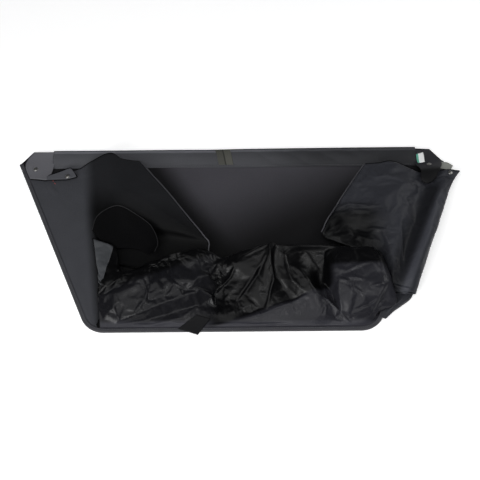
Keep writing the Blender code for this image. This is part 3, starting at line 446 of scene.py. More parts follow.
def shaded(tree, where, colour, shades):
    """The colour, darkened or paled in zones: painted shade, painted highlights and other tone changes. Each shade is
    the share of the colour that is left where it is strongest, more than 1 where it is painted paler, and ramps that
    lead there: each rises from 0 to 1 along a direction of the coordinates, between two distances in metres, and
    they are multiplied."""
    for share, ramps in shades:
        amount = 1 - share
        for coordinates, direction, start, end in ramps:
            run = add(tree, "ShaderNodeVectorMath", {0: where.outputs[coordinates], 1: direction},
                      operation="DOT_PRODUCT")
            part = add(tree, "ShaderNodeMapRange", {"Value": run.outputs["Value"], "From Min": start, "From Max": end},
                       interpolation_type="SMOOTHSTEP")
            product = add(tree, "ShaderNodeMath", {0: part.outputs["Result"], 1: amount}, operation="MULTIPLY")
            amount = product.outputs[0]
        left = add(tree, "ShaderNodeMath", {0: 1.0, 1: amount}, operation="SUBTRACT")
        colour = add(tree, "ShaderNodeVectorMath", {0: colour, "Scale": left.outputs[0]}, operation="SCALE")
        colour = colour.outputs["Vector"]
    return colour


def coated_polyester(name, code, roughness, spread=0.1, thread=3.0, depth=0.25, gloss=0.5, shades=()):
    """Polyester oxford cloth with a polyurethane coat, calendered: matt, a faint weave, and
    cloudy where the coat is thinner. Its real threads are 0.4 mm, too fine to show, so the
    weave is drawn at a few millimetres."""
    made, tree, shader = material(name)
    where = add(tree, "ShaderNodeTexCoord")
    clouds = add(tree, "ShaderNodeTexNoise", {"Vector": where.outputs["Object"], "Scale": per_size(45), "Detail": 5.0})
    grain = add(tree, "ShaderNodeTexNoise", {"Vector": where.outputs["UV"], "Scale": per_size(3.5), "Detail": 2.0})
    tone = linear(code)
    low = scaled(tone, 1 - spread)
    high = scaled(tone, 1 + spread)
    base = add(tree, "ShaderNodeMix", {0: clouds.outputs["Fac"], 6: low, 7: high}, data_type="RGBA")
    fleck = add(tree, "ShaderNodeMix", {0: grain.outputs["Fac"], 6: (0.88, 0.88, 0.88, 1), 7: (1.12, 1.12, 1.12, 1)},
                data_type="RGBA")
    colour = add(tree, "ShaderNodeMix", {0: 1.0, 6: base.outputs[2], 7: fleck.outputs[2]}, data_type="RGBA",
                 blend_type="MULTIPLY")
    tree.links.new(shaded(tree, where, colour.outputs[2], shades), shader.inputs["Base Color"])
    rough = add(tree, "ShaderNodeMapRange", {"Value": clouds.outputs["Fac"], "To Min": roughness - 0.06,
                                             "To Max": roughness + 0.08})
    tree.links.new(rough.outputs["Result"], shader.inputs["Roughness"])
    yarns = woven(tree, where, thread)
    rise = add(tree, "ShaderNodeMath", {0: yarns, 1: grain.outputs["Fac"]}, operation="ADD")
    bump = add(tree, "ShaderNodeBump", {"Height": rise.outputs[0], "Strength": depth, "Distance": 0.35 * MM})
    tree.links.new(bump.outputs["Normal"], shader.inputs["Normal"])
    shader.inputs["Specular IOR Level"].default_value = gloss
    return made


def vinyl_film(shades):
    """Black plasticised PVC film, calendered glossy. Soft and dusty from folding: small
    crinkles catch the light, and handling has left duller, greyer patches. Its shades paint shade and highlights onto
    zones of the film."""
    made, tree, shader = material("glossy_vinyl_film")
    where = add(tree, "ShaderNodeTexCoord")
    wear = add(tree, "ShaderNodeTexNoise", {"Vector": where.outputs["Object"], "Scale": per_size(70), "Detail": 6.0})
    colour = add(tree, "ShaderNodeMix", {0: wear.outputs["Fac"], 6: linear("#1E1E22"), 7: linear("#2B2B30")},
                 data_type="RGBA")
    tree.links.new(shaded(tree, where, colour.outputs[2], shades), shader.inputs["Base Color"])
    rough = add(tree, "ShaderNodeMapRange", {"Value": wear.outputs["Fac"], "From Min": 0.3, "From Max": 0.7,
                                             "To Min": 0.24, "To Max": 0.36})
    tree.links.new(rough.outputs["Result"], shader.inputs["Roughness"])
    ripple = add(tree, "ShaderNodeTexNoise", {"Vector": where.outputs["UV"], "Scale": per_size(11), "Detail": 4.0,
                                              "Distortion": 1.2})
    bump = add(tree, "ShaderNodeBump", {"Height": ripple.outputs["Fac"], "Strength": 0.3, "Distance": 0.9 * MM})
    tree.links.new(bump.outputs["Normal"], shader.inputs["Normal"])
    shader.inputs["Specular IOR Level"].default_value = 0.17
    return made


def binding_tape():
    """Grosgrain polyester tape, woven in fine cross ribs 1 mm apart, drawn 2 mm apart."""
    made, tree, shader = material("grosgrain_binding_tape")
    where = add(tree, "ShaderNodeTexCoord")
    ribs = add(tree, "ShaderNodeTexWave", {"Vector": where.outputs["UV"], "Scale": per_thread(2.0)},
               bands_direction="Y")
    fade = add(tree, "ShaderNodeTexNoise", {"Vector": where.outputs["Object"], "Scale": per_size(30), "Detail": 4.0})
    colour = add(tree, "ShaderNodeMix", {0: fade.outputs["Fac"], 6: linear("#2C2C30"), 7: linear("#3C3C41")},
                 data_type="RGBA")
    tree.links.new(colour.outputs[2], shader.inputs["Base Color"])
    shader.inputs["Roughness"].default_value = 0.6
    bump = add(tree, "ShaderNodeBump", {"Height": ribs.outputs["Fac"], "Strength": 0.5, "Distance": 0.3 * MM})
    tree.links.new(bump.outputs["Normal"], shader.inputs["Normal"])
    return made


def webbing(name, code, thread, shades=()):
    """A plain weave of thick yarns, dull and slightly uneven in colour."""
    made, tree, shader = material(name)
    where = add(tree, "ShaderNodeTexCoord")
    yarns = woven(tree, where, thread)
    tone = linear(code)
    dark = scaled(tone, 0.7)
    colour = add(tree, "ShaderNodeMix", {0: yarns, 6: dark, 7: tone}, data_type="RGBA")
    tree.links.new(shaded(tree, where, colour.outputs[2], shades), shader.inputs["Base Color"])
    shader.inputs["Roughness"].default_value = 0.8
    bump = add(tree, "ShaderNodeBump", {"Height": yarns, "Strength": 0.5, "Distance": 0.3 * MM})
    tree.links.new(bump.outputs["Normal"], shader.inputs["Normal"])
    return made


def nickel_plate():
    """Pressed steel, nickel plated: bright, with fine scuffs from use."""
    made, tree, shader = material("nickel_plated_steel")
    where = add(tree, "ShaderNodeTexCoord")
    scuff = add(tree, "ShaderNodeTexNoise", {"Vector": where.outputs["Object"], "Scale": per_size(1.5), "Detail": 4.0})
    rough = add(tree, "ShaderNodeMapRange", {"Value": scuff.outputs["Fac"], "To Min": 0.25, "To Max": 0.5})
    tree.links.new(rough.outputs["Result"], shader.inputs["Roughness"])
    shader.inputs["Base Color"].default_value = linear("#8E8D8A")
    shader.inputs["Metallic"].default_value = 1.0
    bump = add(tree, "ShaderNodeBump", {"Height": scuff.outputs["Fac"], "Strength": 0.15, "Distance": 0.1 * MM})
    tree.links.new(bump.outputs["Normal"], shader.inputs["Normal"])
    return made


def label_film():
    """White polypropylene label with a plain printed green band down one side."""
    made, tree, shader = material("printed_label_film")
    where = add(tree, "ShaderNodeTexCoord")
    side = add(tree, "ShaderNodeSeparateXYZ", {0: where.outputs["UV"]})
    band = add(tree, "ShaderNodeMath", {0: side.outputs["X"], 1: LABEL_BAND * MM}, operation="LESS_THAN")
    colour = add(tree, "ShaderNodeMix", {0: band.outputs[0], 6: linear("#FAFBFB"), 7: linear("#63AE98")},
                 data_type="RGBA")
    tree.links.new(colour.outputs[2], shader.inputs["Base Color"])
    scuff = add(tree, "ShaderNodeTexNoise", {"Vector": where.outputs["Object"], "Scale": per_size(4), "Detail": 3.0})
    rough = add(tree, "ShaderNodeMapRange", {"Value": scuff.outputs["Fac"], "To Min": 0.35, "To Max": 0.5})
    tree.links.new(rough.outputs["Result"], shader.inputs["Roughness"])
    return made


def thread(name, code):
    """Twisted polyester thread, slightly glossy along its twist."""
    made, tree, shader = material(name)
    where = add(tree, "ShaderNodeTexCoord")
    fade = add(tree, "ShaderNodeTexNoise", {"Vector": where.outputs["Object"], "Scale": per_size(8), "Detail": 2.0})
    tone = linear(code)
    dark = scaled(tone, 0.7)
    colour = add(tree, "ShaderNodeMix", {0: fade.outputs["Fac"], 6: dark, 7: tone}, data_type="RGBA")
    tree.links.new(colour.outputs[2], shader.inputs["Base Color"])
    shader.inputs["Roughness"].default_value = 0.5
    return made


def seam(station, inset=0.0):
    """Points on the panel's outline, moved in by the inset.

    A station of 0 is the middle of the bottom edge, 1 the end of its flat, 2 the end of the
    corner's arc and 3 the widest corner, minus being the left side. The arc turns about a
    centre CORNER_RADIUS above the edge, and the side is a straight line that leans out.
    """
    station, inset = np.broadcast_arrays(np.asarray(station, float), np.asarray(inset, float))
    side = np.where(station < 0, -1.0, 1.0)
    reach = np.abs(station)
    turn = (np.clip(reach, 1, 2) - 1) * CORNER_TURN
    radius = CORNER_RADIUS - inset
    run = CORNER_CUT + (SIDE_LENGTH - CORNER_CUT) * (reach - 2)
    zones = [reach <= 1, reach <= 2]
    across = np.select(zones, [HALF_FLAT * reach, HALF_FLAT + radius * np.sin(turn)],
                       HALF_FOOT + run * math.sin(LEAN) - inset * math.cos(LEAN))
    up = np.select(zones, [inset, CORNER_RADIUS - radius * np.cos(turn)],
                   run * math.cos(LEAN) + inset * math.sin(LEAN))
    return side * across, up


def unit(vectors):
    """Vectors divided by their lengths."""
    return vectors / np.linalg.norm(vectors, axis=-1, keepdims=True)


def weights(t):
    """Catmull-Rom weights of four neighbours at the fraction t of the middle span."""
    return np.stack([
        (-t + 2 * t**2 - t**3) / 2,
        (2 - 5 * t**2 + 3 * t**3) / 2,
        (t + 4 * t**2 - 3 * t**3) / 2,
        (-t**2 + t**3) / 2,
    ])


class Net:
    """A smooth cloth surface through a net of points: Catmull-Rom curves along rows and columns."""

    def __init__(self, rows, facing=1.0, lowest=0.0):
        self.facing = facing
        self.lowest = lowest
        points = np.array(rows, dtype=float)
        points = np.concatenate([2 * points[:1] - points[1:2], points, 2 * points[-1:] - points[-2:-1]], axis=0)
        first = 2 * points[:, :1] - points[:, 1:2]
        last = 2 * points[:, -1:] - points[:, -2:-1]
        self.points = np.concatenate([first, points, last], axis=1)
        self.rows = len(rows)
        self.columns = len(rows[0])

    def at(self, row, column):
        """Surface points for arrays of rows and columns."""
        row, column = np.broadcast_arrays(np.asarray(row, float), np.asarray(column, float))
        i = np.clip(np.floor(row), 0, self.rows - 2).astype(int)
        j = np.clip(np.floor(column), 0, self.columns - 2).astype(int)
        along = weights(row - i)
        across = weights(column - j)
        total = 0.0
        for a in range(4):
            for b in range(4):
                total = total + (along[a] * across[b])[..., None] * self.points[i + a, j + b]
        total[..., 2] = np.maximum(total[..., 2], self.lowest)
        return total

    def normal(self, row, column):
        """Unit normals on the outer side, from the cross product of small steps both ways."""
        down = self.at(row + NORMAL_STEP, column) - self.at(row - NORMAL_STEP, column)
        over = self.at(row, column + NORMAL_STEP) - self.at(row, column - NORMAL_STEP)
        return self.facing * unit(np.cross(down, over))

    def grid(self, row_steps, column_steps):
        """The whole net, sampled evenly in its rows and columns."""
        rows = np.linspace(0, self.rows - 1, (self.rows - 1) * row_steps + 1)
        columns = np.linspace(0, self.columns - 1, (self.columns - 1) * column_steps + 1)
        return self.at(rows[:, None], columns[None, :])


def wall_net(sections, turn, side, way):
    """A wall's net: its flange inside the binding, then its sections, set from the seam.

    A side of -1 puts the stations on the panel's left. The first number of a section's point
    is measured to the left for a way of 1, and to the right for a way of -1.
    """
    flange = ((PANEL_INSET + GAP, 0.0), (FLANGE_END, 0.0), (FLANGE_END + turn, FLANGE_LIFT))
    rows = []
    for station, points in sections:
        x, y = seam(side * station)
        row = [(*seam(side * station, inset), FLANGE_Z + lift) for inset, lift in flange]
        rows.append(row + [(x - way * inward, y + up, height) for inward, up, height in points])
    return Net(rows, facing=-way, lowest=FLANGE_Z)


def gusset_net():
    """The left gusset's net, set from the seam at its station."""
    foot = seam(-GUSSET_STATION)
    return Net([[(foot[0] + inward, foot[1] + up, height) for inward, up, height in row] for row in LEFT_GUSSET])


def corner_net(rows, side):
    """A tab's net, set from the panel's widest corner on its side."""
    return Net([[(side * (HALF_WIDTH - x), WIDE_HEIGHT + y, z) for x, y, z in row] for row in rows])


def sleeve_net():
    """The sleeve's net: its section, carried straight from end to end."""
    ends = (SLEEVE_LEFT, SLEEVE_RIGHT)
    rows = [[(x, PANEL_TOP + past, height) for past, height in SLEEVE_SECTION] for x in ends]
    return Net(rows, facing=-1.0, lowest=SLEEVE_CLOTH / 2)


def smoothed(field, passes):
    """A field on a grid, each pass averaging every point with its four neighbours."""
    for _ in range(passes):
        padded = np.pad(field, 1, mode="edge")
        beside = padded[:-2, 1:-1] + padded[2:, 1:-1] + padded[1:-1, :-2] + padded[1:-1, 2:]
        field = (field * 4 + beside) / 8
    return field


def step(value, low, high):
    """0 below low and 1 above high, turning smoothly between them."""
    t = np.clip((value - low) / (high - low), 0, 1)
    return t * t * (3 - 2 * t)


def facets(x, y, size, seed):
    """Heights between -1 and 1 of a sheet of flat triangular facets.

    A lattice of that size, turned and bent by two slow waves, has a random height at each
    corner, and runs straight between the three corners round a point.
    """
    rng = np.random.default_rng(seed)
    turn = rng.uniform(0, math.pi)
    heights = rng.uniform(-1, 1, (64, 64))
    q = (x * math.cos(turn) + y * math.sin(turn)) / size
    r = (y * math.cos(turn) - x * math.sin(turn)) / size
    q, r = q + 0.35 * np.sin(0.9 * r + seed), r + 0.35 * np.sin(0.8 * q + 2 * seed)
    i, j = np.floor(q).astype(int), np.floor(r).astype(int)
    f, g = q - i, r - j
    near = heights[i % 64, j % 64]
    right = heights[(i + 1) % 64, j % 64]
    above = heights[i % 64, (j + 1) % 64]
    far = heights[(i + 1) % 64, (j + 1) % 64]
    lower = near + f * (right - near) + g * (above - near)
    upper = far + (1 - f) * (above - far) + (1 - g) * (right - far)
    return np.where(f + g < 1, lower, upper)


def crumpled(x, y, crumples):
    """Heights of facets of several sizes, added up."""
    return sum(height * facets(x, y, size, seed) for height, size, seed in crumples)


def beyond_flange(net, columns, low, high):
    """For each of the grid's columns, a smooth step from 0 at the flange's column to 1 at the free one."""
    return step(np.linspace(0, net.columns - 1, columns), low, high)[None, :]


def creased(grid, creases):
    """The grid raised along each crease: its full height on the line, falling straight to
    nothing at its half width on both sides, and fading out towards its two ends."""
    grid = grid.copy()
    place = grid[..., :2].copy()
    for line, height, width in creases:
        points = np.array(line, float)
        lengths = np.linalg.norm(np.diff(points, axis=0), axis=1)
        starts = np.concatenate([[0], np.cumsum(lengths)])
        nearest = np.full(place.shape[:2], 1e9)
        run = np.zeros(place.shape[:2])
        for k, length in enumerate(lengths):
            along = (points[k + 1] - points[k]) / length
            t = np.clip((place - points[k]) @ along, 0, length)
            away = np.linalg.norm(place - points[k] - t[..., None] * along, axis=-1)
            closer = away < nearest
            nearest = np.where(closer, away, nearest)
            run = np.where(closer, starts[k] + t, run)
        ends = step(np.minimum(run, starts[-1] - run), -0.1 * starts[-1], 0.35 * starts[-1])
        grid[..., 2] += height * ends * np.clip(1 - nearest / width, 0, 1)
    return grid


def folded(net, row_steps, column_steps, folds):
    """The grid lifted so that it runs through its folds and lies in flat facets between them.

    Each fold point's lift is its height over the grid's nearest point. The points, and the
    grid's border with a lift of nothing, are joined by a Delaunay triangulation that keeps
    the folds as edges, and each triangle spreads its corners' lifts evenly. The flange
    stays flat.
    """
    grid = net.grid(row_steps, column_steps)
    spacing = FOLD_BORDER_STEP
    flat = grid.reshape(-1, 3)
    border = np.concatenate([grid[::spacing, 0], grid[::spacing, -1], grid[0, ::spacing], grid[-1, ::spacing]])
    places, lifts, edges = [], [], []
    for fold in folds:
        first = len(places)
        for x, y, height in fold:
            nearest = np.argmin((flat[:, 0] - x) ** 2 + (flat[:, 1] - y) ** 2)
            places.append((x, y))
            lifts.append(height - flat[nearest, 2])
        edges += [(k, k + 1) for k in range(first, len(places) - 1)]
    places += [tuple(point[:2]) for point in border]
    lifts += [0.0] * len(border)
    corners, _, faces, sources, _, _ = delaunay_2d_cdt([Vector(p) for p in places], edges, [], 0, 0.5)
    known = np.array(places)
    level = []
    for corner, source in zip(corners, sources):
        nearest = source[0] if source else int(np.argmin(np.sum((known - np.array(corner)) ** 2, axis=1)))
        level.append(lifts[nearest])
    lift = np.zeros(len(flat))
    for face in faces:
        a, b, c = [np.array(corners[k]) for k in face[:3]]
        cross = (b[0] - a[0]) * (c[1] - a[1]) - (b[1] - a[1]) * (c[0] - a[0])
        if abs(cross) < 1e-6:
            continue
        dx, dy = flat[:, 0] - a[0], flat[:, 1] - a[1]
        v = (dx * (c[1] - a[1]) - dy * (c[0] - a[0])) / cross
        w = (dy * (b[0] - a[0]) - dx * (b[1] - a[1])) / cross
        inside = (v >= -1e-6) & (w >= -1e-6) & (v + w <= 1 + 1e-6)
        value = level[face[0]] * (1 - v - w) + level[face[1]] * v + level[face[2]] * w
        lift = np.where(inside, value, lift)
    free = np.clip(np.linspace(0, net.columns - 1, grid.shape[1]) - FOLD_START, 0, 1)
    grid[..., 2] = np.maximum(grid[..., 2] + free * smoothed(lift.reshape(grid.shape[:2]), 2), FLANGE_Z)
    return grid


def settled(grid, hold, growth, frames, stiffness):
    """The grid after Blender's cloth solver has let it buckle: it is cut larger than its
    place by the growth, and each point is held to its place by its hold, from 0 to 1."""
    rows, columns = grid.shape[:2]
    mesh = grid_mesh("settling", grid)
    piece = placed("settling", mesh)
    group = piece.vertex_groups.new(name="hold")
    levels = np.round(np.clip(hold, 0, 1).ravel() * 20).astype(int)
    for level in np.unique(levels):
        group.add(np.flatnonzero(levels == level).tolist(), level / 20, "REPLACE")
    cloth = piece.modifiers.new("Settle", "CLOTH")
    rules = cloth.settings
    rules.quality = 5
    rules.mass = 0.15
    rules.tension_stiffness = 25
    rules.compression_stiffness = 25
    rules.shear_stiffness = 15
    rules.bending_stiffness = stiffness
    rules.shrink_min = -growth
    rules.vertex_group_mass = "hold"
    rules.effector_weights.gravity = 0.0
    cloth.collision_settings.use_collision = False
    cloth.point_cache.frame_start = 1
    cloth.point_cache.frame_end = frames
    scene = bpy.context.scene
    for number in range(1, frames + 1):
        scene.frame_set(number)
    made = piece.evaluated_get(bpy.context.evaluated_depsgraph_get())
    places = np.zeros(rows * columns * 3)
    made.data.vertices.foreach_get("co", places)
    bpy.data.objects.remove(piece)
    bpy.data.meshes.remove(mesh)
    scene.frame_set(1)
    return (places.reshape(rows, columns, 3) - ROOT) / MM


def within(x, y, corners, soft):
    """1 inside a convex polygon with its corners in counter-clockwise order, falling
    smoothly to 0 at its sides from that distance within."""
    inside = np.ones(np.shape(x))
    for (ax, ay), (bx, by) in zip(corners, corners[1:] + corners[:1]):
        away = ((bx - ax) * (y - ay) - (by - ay) * (x - ax)) / math.hypot(bx - ax, by - ay)
        inside = inside * step(away, 0, soft)
    return inside


def on_cloth(grid, places, lift):
    """Points at (x, y) places, lifted above the grid's nearest points."""
    places = np.array(places, float)
    flat = grid.reshape(-1, 3)
    away = (flat[None, :, 0] - places[:, :1]) ** 2 + (flat[None, :, 1] - places[:, 1:]) ** 2
    return np.column_stack([places, flat[away.argmin(axis=1), 2] + lift])


def placed(name, data):
    """A new object in the scene."""
    made = bpy.data.objects.new(name, data)
    bpy.context.scene.collection.objects.link(made)
    return made


def row_frame_mesh(name, points, faces):
    """A mesh of points in panel millimetres, times MM and moved by ROOT to the row frame."""
    mesh = bpy.data.meshes.new(name)
    mesh.from_pydata((points.reshape(-1, 3) * MM + ROOT).tolist(), [], faces)
    return mesh


def grid_mesh(name, grid):
    """A grid of panel millimetres as a mesh of quads in the row frame, with a UV map in
    metres along the cloth: the mean length along the rows, and along the columns."""
    rows, columns = grid.shape[:2]
    index = np.arange(rows * columns).reshape(rows, columns)
    quads = np.stack([index[:-1, :-1], index[:-1, 1:], index[1:, 1:], index[1:, :-1]], axis=-1).reshape(-1, 4)
    mesh = row_frame_mesh(name, grid, quads.tolist())
    across = np.linalg.norm(np.diff(grid, axis=1), axis=-1).mean(axis=0) * MM
    along = np.linalg.norm(np.diff(grid, axis=0), axis=-1).mean(axis=1) * MM
    u = np.concatenate([[0], np.cumsum(across)])
    v = np.concatenate([[0], np.cumsum(along)])
    places = np.stack(np.broadcast_arrays(u[None, :], v[:, None]), axis=-1).reshape(-1, 2)
    layer = mesh.uv_layers.new(name="cloth")
    layer.data.foreach_set("uv", places[quads.ravel()].ravel())
    return mesh


def dress(name, mesh, finish, nodes=()):
    """Puts a mesh in the scene as a piece that stands for its CAD nodes."""
    piece = placed(name, mesh)
    mesh.materials.append(finish)
    mesh.shade_smooth()
    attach(piece, "root")
    if nodes:
        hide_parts(*nodes)
    return piece


def cloth_piece(name, grid, thickness, finish, slot, *nodes):
    """A cloth piece: the grid, with its thickness shared by both sides."""
    wall = dress(name, grid_mesh(name, grid), finish, nodes).modifiers.new("Thickness", "SOLIDIFY")
    wall.thickness = thickness * MM
    wall.offset = 0.0


def patch_grid(net, corners, steps, lift):
    """A flat piece on a net: its four (row, column) corners joined by straight lines, and
    each point lifted along the net's normal."""
    a, b, c, d = [np.array(corner) for corner in corners]
    u = np.linspace(0, 1, steps[0] + 1)[:, None, None]
    v = np.linspace(0, 1, steps[1] + 1)[None, :, None]
    places = (1 - u) * ((1 - v) * a + v * b) + u * ((1 - v) * d + v * c)
    row, column = places[..., 0], places[..., 1]
    return net.at(row, column) + net.normal(row, column) * lift


def resampled(line, pitch):
    """Points along a line at an even pitch, by linear interpolation over its length."""
    lengths = np.concatenate([[0], np.cumsum(np.linalg.norm(np.diff(line, axis=0), axis=1))])
    marks = np.arange(pitch / 2, lengths[-1], pitch)
    return np.stack([np.interp(marks, lengths, line[:, k]) for k in range(3)], axis=1)


def stitch_row(name, line, finish, pitch=STITCH_PITCH, length=STITCH_LENGTH, width=THREAD_WIDTH):
    """A row of stitches: at each mark along the line, a grain of thread.

    A grain is a sphere of six sides and three rings, drawn out along the line to the
    stitch's length, and pressed to the thread's width across it.
    """
    marks = resampled(line, pitch)
    forward = unit(np.gradient(marks, axis=0))
    side = unit(np.cross(np.broadcast_to(np.asarray(UP, float), marks.shape), forward))
    rise = np.cross(forward, side)
    angles = np.arange(6) * math.pi / 3
    rings = [(-1.0, 0.0), (-0.75, 0.66), (0.0, 1.0), (0.75, 0.66), (1.0, 0.0)]
    grain = [(rings[0][0], 0.0, 0.0)]
    grain += [(reach, size * math.cos(a), size * math.sin(a)) for reach, size in rings[1:4] for a in angles]
    grain = np.array(grain + [(rings[4][0], 0.0, 0.0)]) * (length / 2, width / 2, width / 2)
    points = (marks[:, None] + grain[None, :, 0, None] * forward[:, None] + grain[None, :, 1, None] * side[:, None]
              + grain[None, :, 2, None] * rise[:, None])
    faces = []
    for k in range(6):
        n = (k + 1) % 6
        faces += [(0, 1 + n, 1 + k), (19, 13 + k, 13 + n)]
        faces += [(1 + k, 1 + n, 7 + n, 7 + k), (7 + k, 7 + n, 13 + n, 13 + k)]
    every = [tuple(v + 20 * number for v in face) for number in range(len(marks)) for face in faces]
    dress(name, row_frame_mesh(name, points, every), finish)


def turned(name, profile, matrix, finish, node):
    """A turned piece: the profile of (radius, height) points carried round its axis."""
    radius = np.array([point[0] for point in profile])
    height = np.array([point[1] for point in profile])
    angle = np.arange(SNAP_SIDES) * 2 * math.pi / SNAP_SIDES
    x = radius[:, None] * np.cos(angle)
    y = radius[:, None] * np.sin(angle)
    z = np.broadcast_to(height[:, None], x.shape)
    points = np.stack([x, y, z], axis=-1).reshape(-1, 3)
    turn = np.array(matrix.to_3x3())
    points = points @ turn.T + np.array(matrix.translation)
    count = len(profile)
    index = np.arange(count * SNAP_SIDES).reshape(count, SNAP_SIDES)
    beyond = np.roll(index, -1, axis=0)
    quads = np.stack([index, np.roll(index, -1, axis=1), np.roll(beyond, -1, axis=1), beyond], axis=-1)
    mesh = row_frame_mesh(name, points, quads.reshape(-1, 4).tolist())
    merge_and_face_out(mesh)
    dress(name, mesh, finish, [node])
    mesh.set_sharp_from_angle(angle=math.radians(50))


def merge_and_face_out(mesh):
    """Closes a turned mesh's poles and points its faces outwards."""
    shell = bmesh.new()
    shell.from_mesh(mesh)
    bmesh.ops.remove_doubles(shell, verts=shell.verts[:], dist=1e-6)
    bmesh.ops.dissolve_degenerate(shell, dist=1e-7, edges=shell.edges[:])
    bmesh.ops.recalc_face_normals(shell, faces=shell.faces[:])
    shell.to_mesh(mesh)
    shell.free()


def snap(name, net, spot, cloth, finish):
    """A snap through a cloth, seated flat on the small cell round its spot."""
    reach = SNAP_CELL / 2
    near = [Vector(net.at(spot[0] + a * reach, spot[1] + b * reach)) for a, b in ((-1, -1), (1, -1), (1, 1), (-1, 1))]
    point = sum(near, Vector()) / len(near)
    axis = (near[2] - near[0]).cross(near[3] - near[1]).normalized()
    if axis.dot(Vector(net.normal(*spot))) < 0:
        axis.negate()
    turn = axis.to_track_quat("Z", "Y").to_matrix().to_4x4()
    seat = cloth / 2 + SNAP_SEAT
    top = Matrix.Translation(point + axis * seat) @ turn
    below = Matrix.Translation(point - axis * seat) @ turn
    turned(name + "_cap_pressed", CAP_PROFILE, top, finish, name + "_cap")
    turned(name + "_socket_pressed", SOCKET_PROFILE, below, finish, name + "_socket")


def panel_grid():
    """The rear panel: rows up the panel, each as wide as the outline there.

    The half width is the corner's circle at the foot, the leaning side above it, and the
    chamfer at the top. The height is the rim's near the edge, and sinks smoothly to the
    floor over DISH_RUN, with slow swells of under a millimetre.
    """
    foot = CORNER_RADIUS * (1 - math.cos(CORNER_TURN))
    in_arc, in_side, in_chamfer = PANEL_ROWS
    arc = CORNER_RADIUS - (CORNER_RADIUS - PANEL_INSET) * np.cos(np.linspace(0, CORNER_TURN, in_arc))
    up = np.concatenate([arc, np.linspace(foot + 3, WIDE_HEIGHT - 6, in_side),
                         np.linspace(WIDE_HEIGHT, PANEL_TOP - PANEL_INSET, in_chamfer)])
    circle = np.sqrt(np.maximum((CORNER_RADIUS - PANEL_INSET) ** 2 - (CORNER_RADIUS - up) ** 2, 0))
    leaning = HALF_FOOT + up * math.tan(LEAN) - PANEL_INSET / math.cos(LEAN)
    wide = np.where(up <= arc[-1], HALF_FLAT + circle, leaning)
    cut = HALF_WIDTH - PANEL_INSET / math.cos(LEAN) - (up - WIDE_HEIGHT) * CHAMFER_IN / CHAMFER_UP
    wide = np.where(up > WIDE_HEIGHT, np.minimum(wide, cut), wide)
    u = np.linspace(-1, 1, PANEL_COLUMNS)
    x = wide[:, None] * u
    y = np.broadcast_to(up[:, None], x.shape)
    side = (wide[:, None] - np.abs(x)) * math.cos(LEAN)
    inside = np.minimum(np.minimum(side, y), PANEL_TOP - SLEEVE_DEPTH + DISH_START - 4 - y)
    rim = 1 - step(inside, DISH_START, DISH_START + DISH_RUN)
    swell = 0.5 + 0.25 * np.sin(x / 83 + y / 140) + 0.25 * np.sin(x / 37 - y / 61 + 1.3)
    z = PANEL_THICKNESS / 2 + RIM_Z * rim + PANEL_SWELL * swell * (1 - rim)
    return np.stack([x, y, z], axis=-1)


def binding_grid():
    """The binding tape's middle surface: a U section carried round sides and bottom."""
    right = np.concatenate([np.linspace(0, 1, 60), np.linspace(1, 2, 24)[1:], np.linspace(2, 3, 110)[1:]])
    stations = np.concatenate([-right[::-1], right[1:]])
    nose = np.linspace(-math.pi / 2, math.pi / 2, 9)
    middle = BINDING_TOP / 2
    half = BINDING_TAPE / 2
    insets = np.concatenate([BINDING_BELOW, NOSE_INSET - NOSE_RADIUS * np.cos(nose), BINDING_ABOVE])
    heights = np.concatenate([[half] * len(BINDING_BELOW), middle + (middle - half) * np.sin(nose),
                              [BINDING_TOP - half] * len(BINDING_ABOVE)])
    x, y = seam(stations[:, None], insets[None, :])
    z = np.broadcast_to(heights, x.shape).copy()
    run = np.arange(len(stations))[:, None]
    top = (heights > middle)[None, :]
    dip = np.where(np.abs(insets - BINDING_SEAM) < 0.1, -0.25, 0.0)[None, :]
    z += top * (dip + 0.12 * np.sin(run * 0.9) * np.sin(run * 0.31))
    return np.stack([x, y, z], axis=-1)


def slackened(grid, columns):
    """Points on the sleeve's net, moved to where the empty sleeve lies: it sags most beside
    its patch, is lower and narrower the further left it is, has small dents all along its
    top, and slanting drag folds at the right."""
    x, y = grid[..., 0].copy(), grid[..., 1].copy()
    upper = step(columns, 4.5, 6.5) * (1 - step(columns, 9.6, 10.8))
    beside = np.exp(-((x + 55) / 60) ** 2)
    drag = np.abs(np.sin((x + 1.7 * (y - 490)) / 26)) - 0.5
    right = step(x, 20, 80) * (1 - step(x, 300, 380))
    left = 1 - step(x, -300, 400)
    dents = crumpled(x, y, SLEEVE_CRUMPLES)
    grid[..., 2] += upper * (dents + 2.2 * right * drag - 1.6 * beside - 0.8 * np.sin(x / 75) ** 2)
    grid[..., 2] -= 0.3 * left * np.maximum(grid[..., 2] - 1.0, 0)
    grid[..., 1] -= 1.5 * beside * np.exp(-((columns - 4.0) / 1.2) ** 2)
    grid[..., 1] -= 2.4 * left * np.exp(-((columns - 4.0) / 1.6) ** 2)
    return grid


def sleeve_grid(net):
    """The sleeve: its net, sampled finely along its length, and slackened."""
    rows = np.linspace(0, 1, 260)
    columns = np.linspace(0, net.columns - 1, (net.columns - 1) * 5 + 1)
    grid = net.at(rows[:, None], columns[None, :])
    grid = slackened(grid, columns[None, :])
    grid[..., 2] = np.maximum(grid[..., 2], SLEEVE_CLOTH / 2)
    return grid


def strip(edge, out, reach, lift=0.0):
    """A strip along a cloth's edge, at these distances past it, and lifted."""
    return edge[:, None] + unit(out)[:, None] * np.array(reach)[None, :, None] + np.array([0, 0, lift])


def piping_grid(grid, rows):
    """A bound edge: a strip that runs on past the last column of the wall's own grid."""
    edge = grid[:rows, -1]
    out = edge - grid[:rows, -3]
    run = unit(np.gradient(edge, axis=0))
    out -= run * np.sum(out * run, axis=-1, keepdims=True)
    return strip(edge, out, PIPING_GAP + PIPING_WIDTH * np.linspace(0, 1, 4))


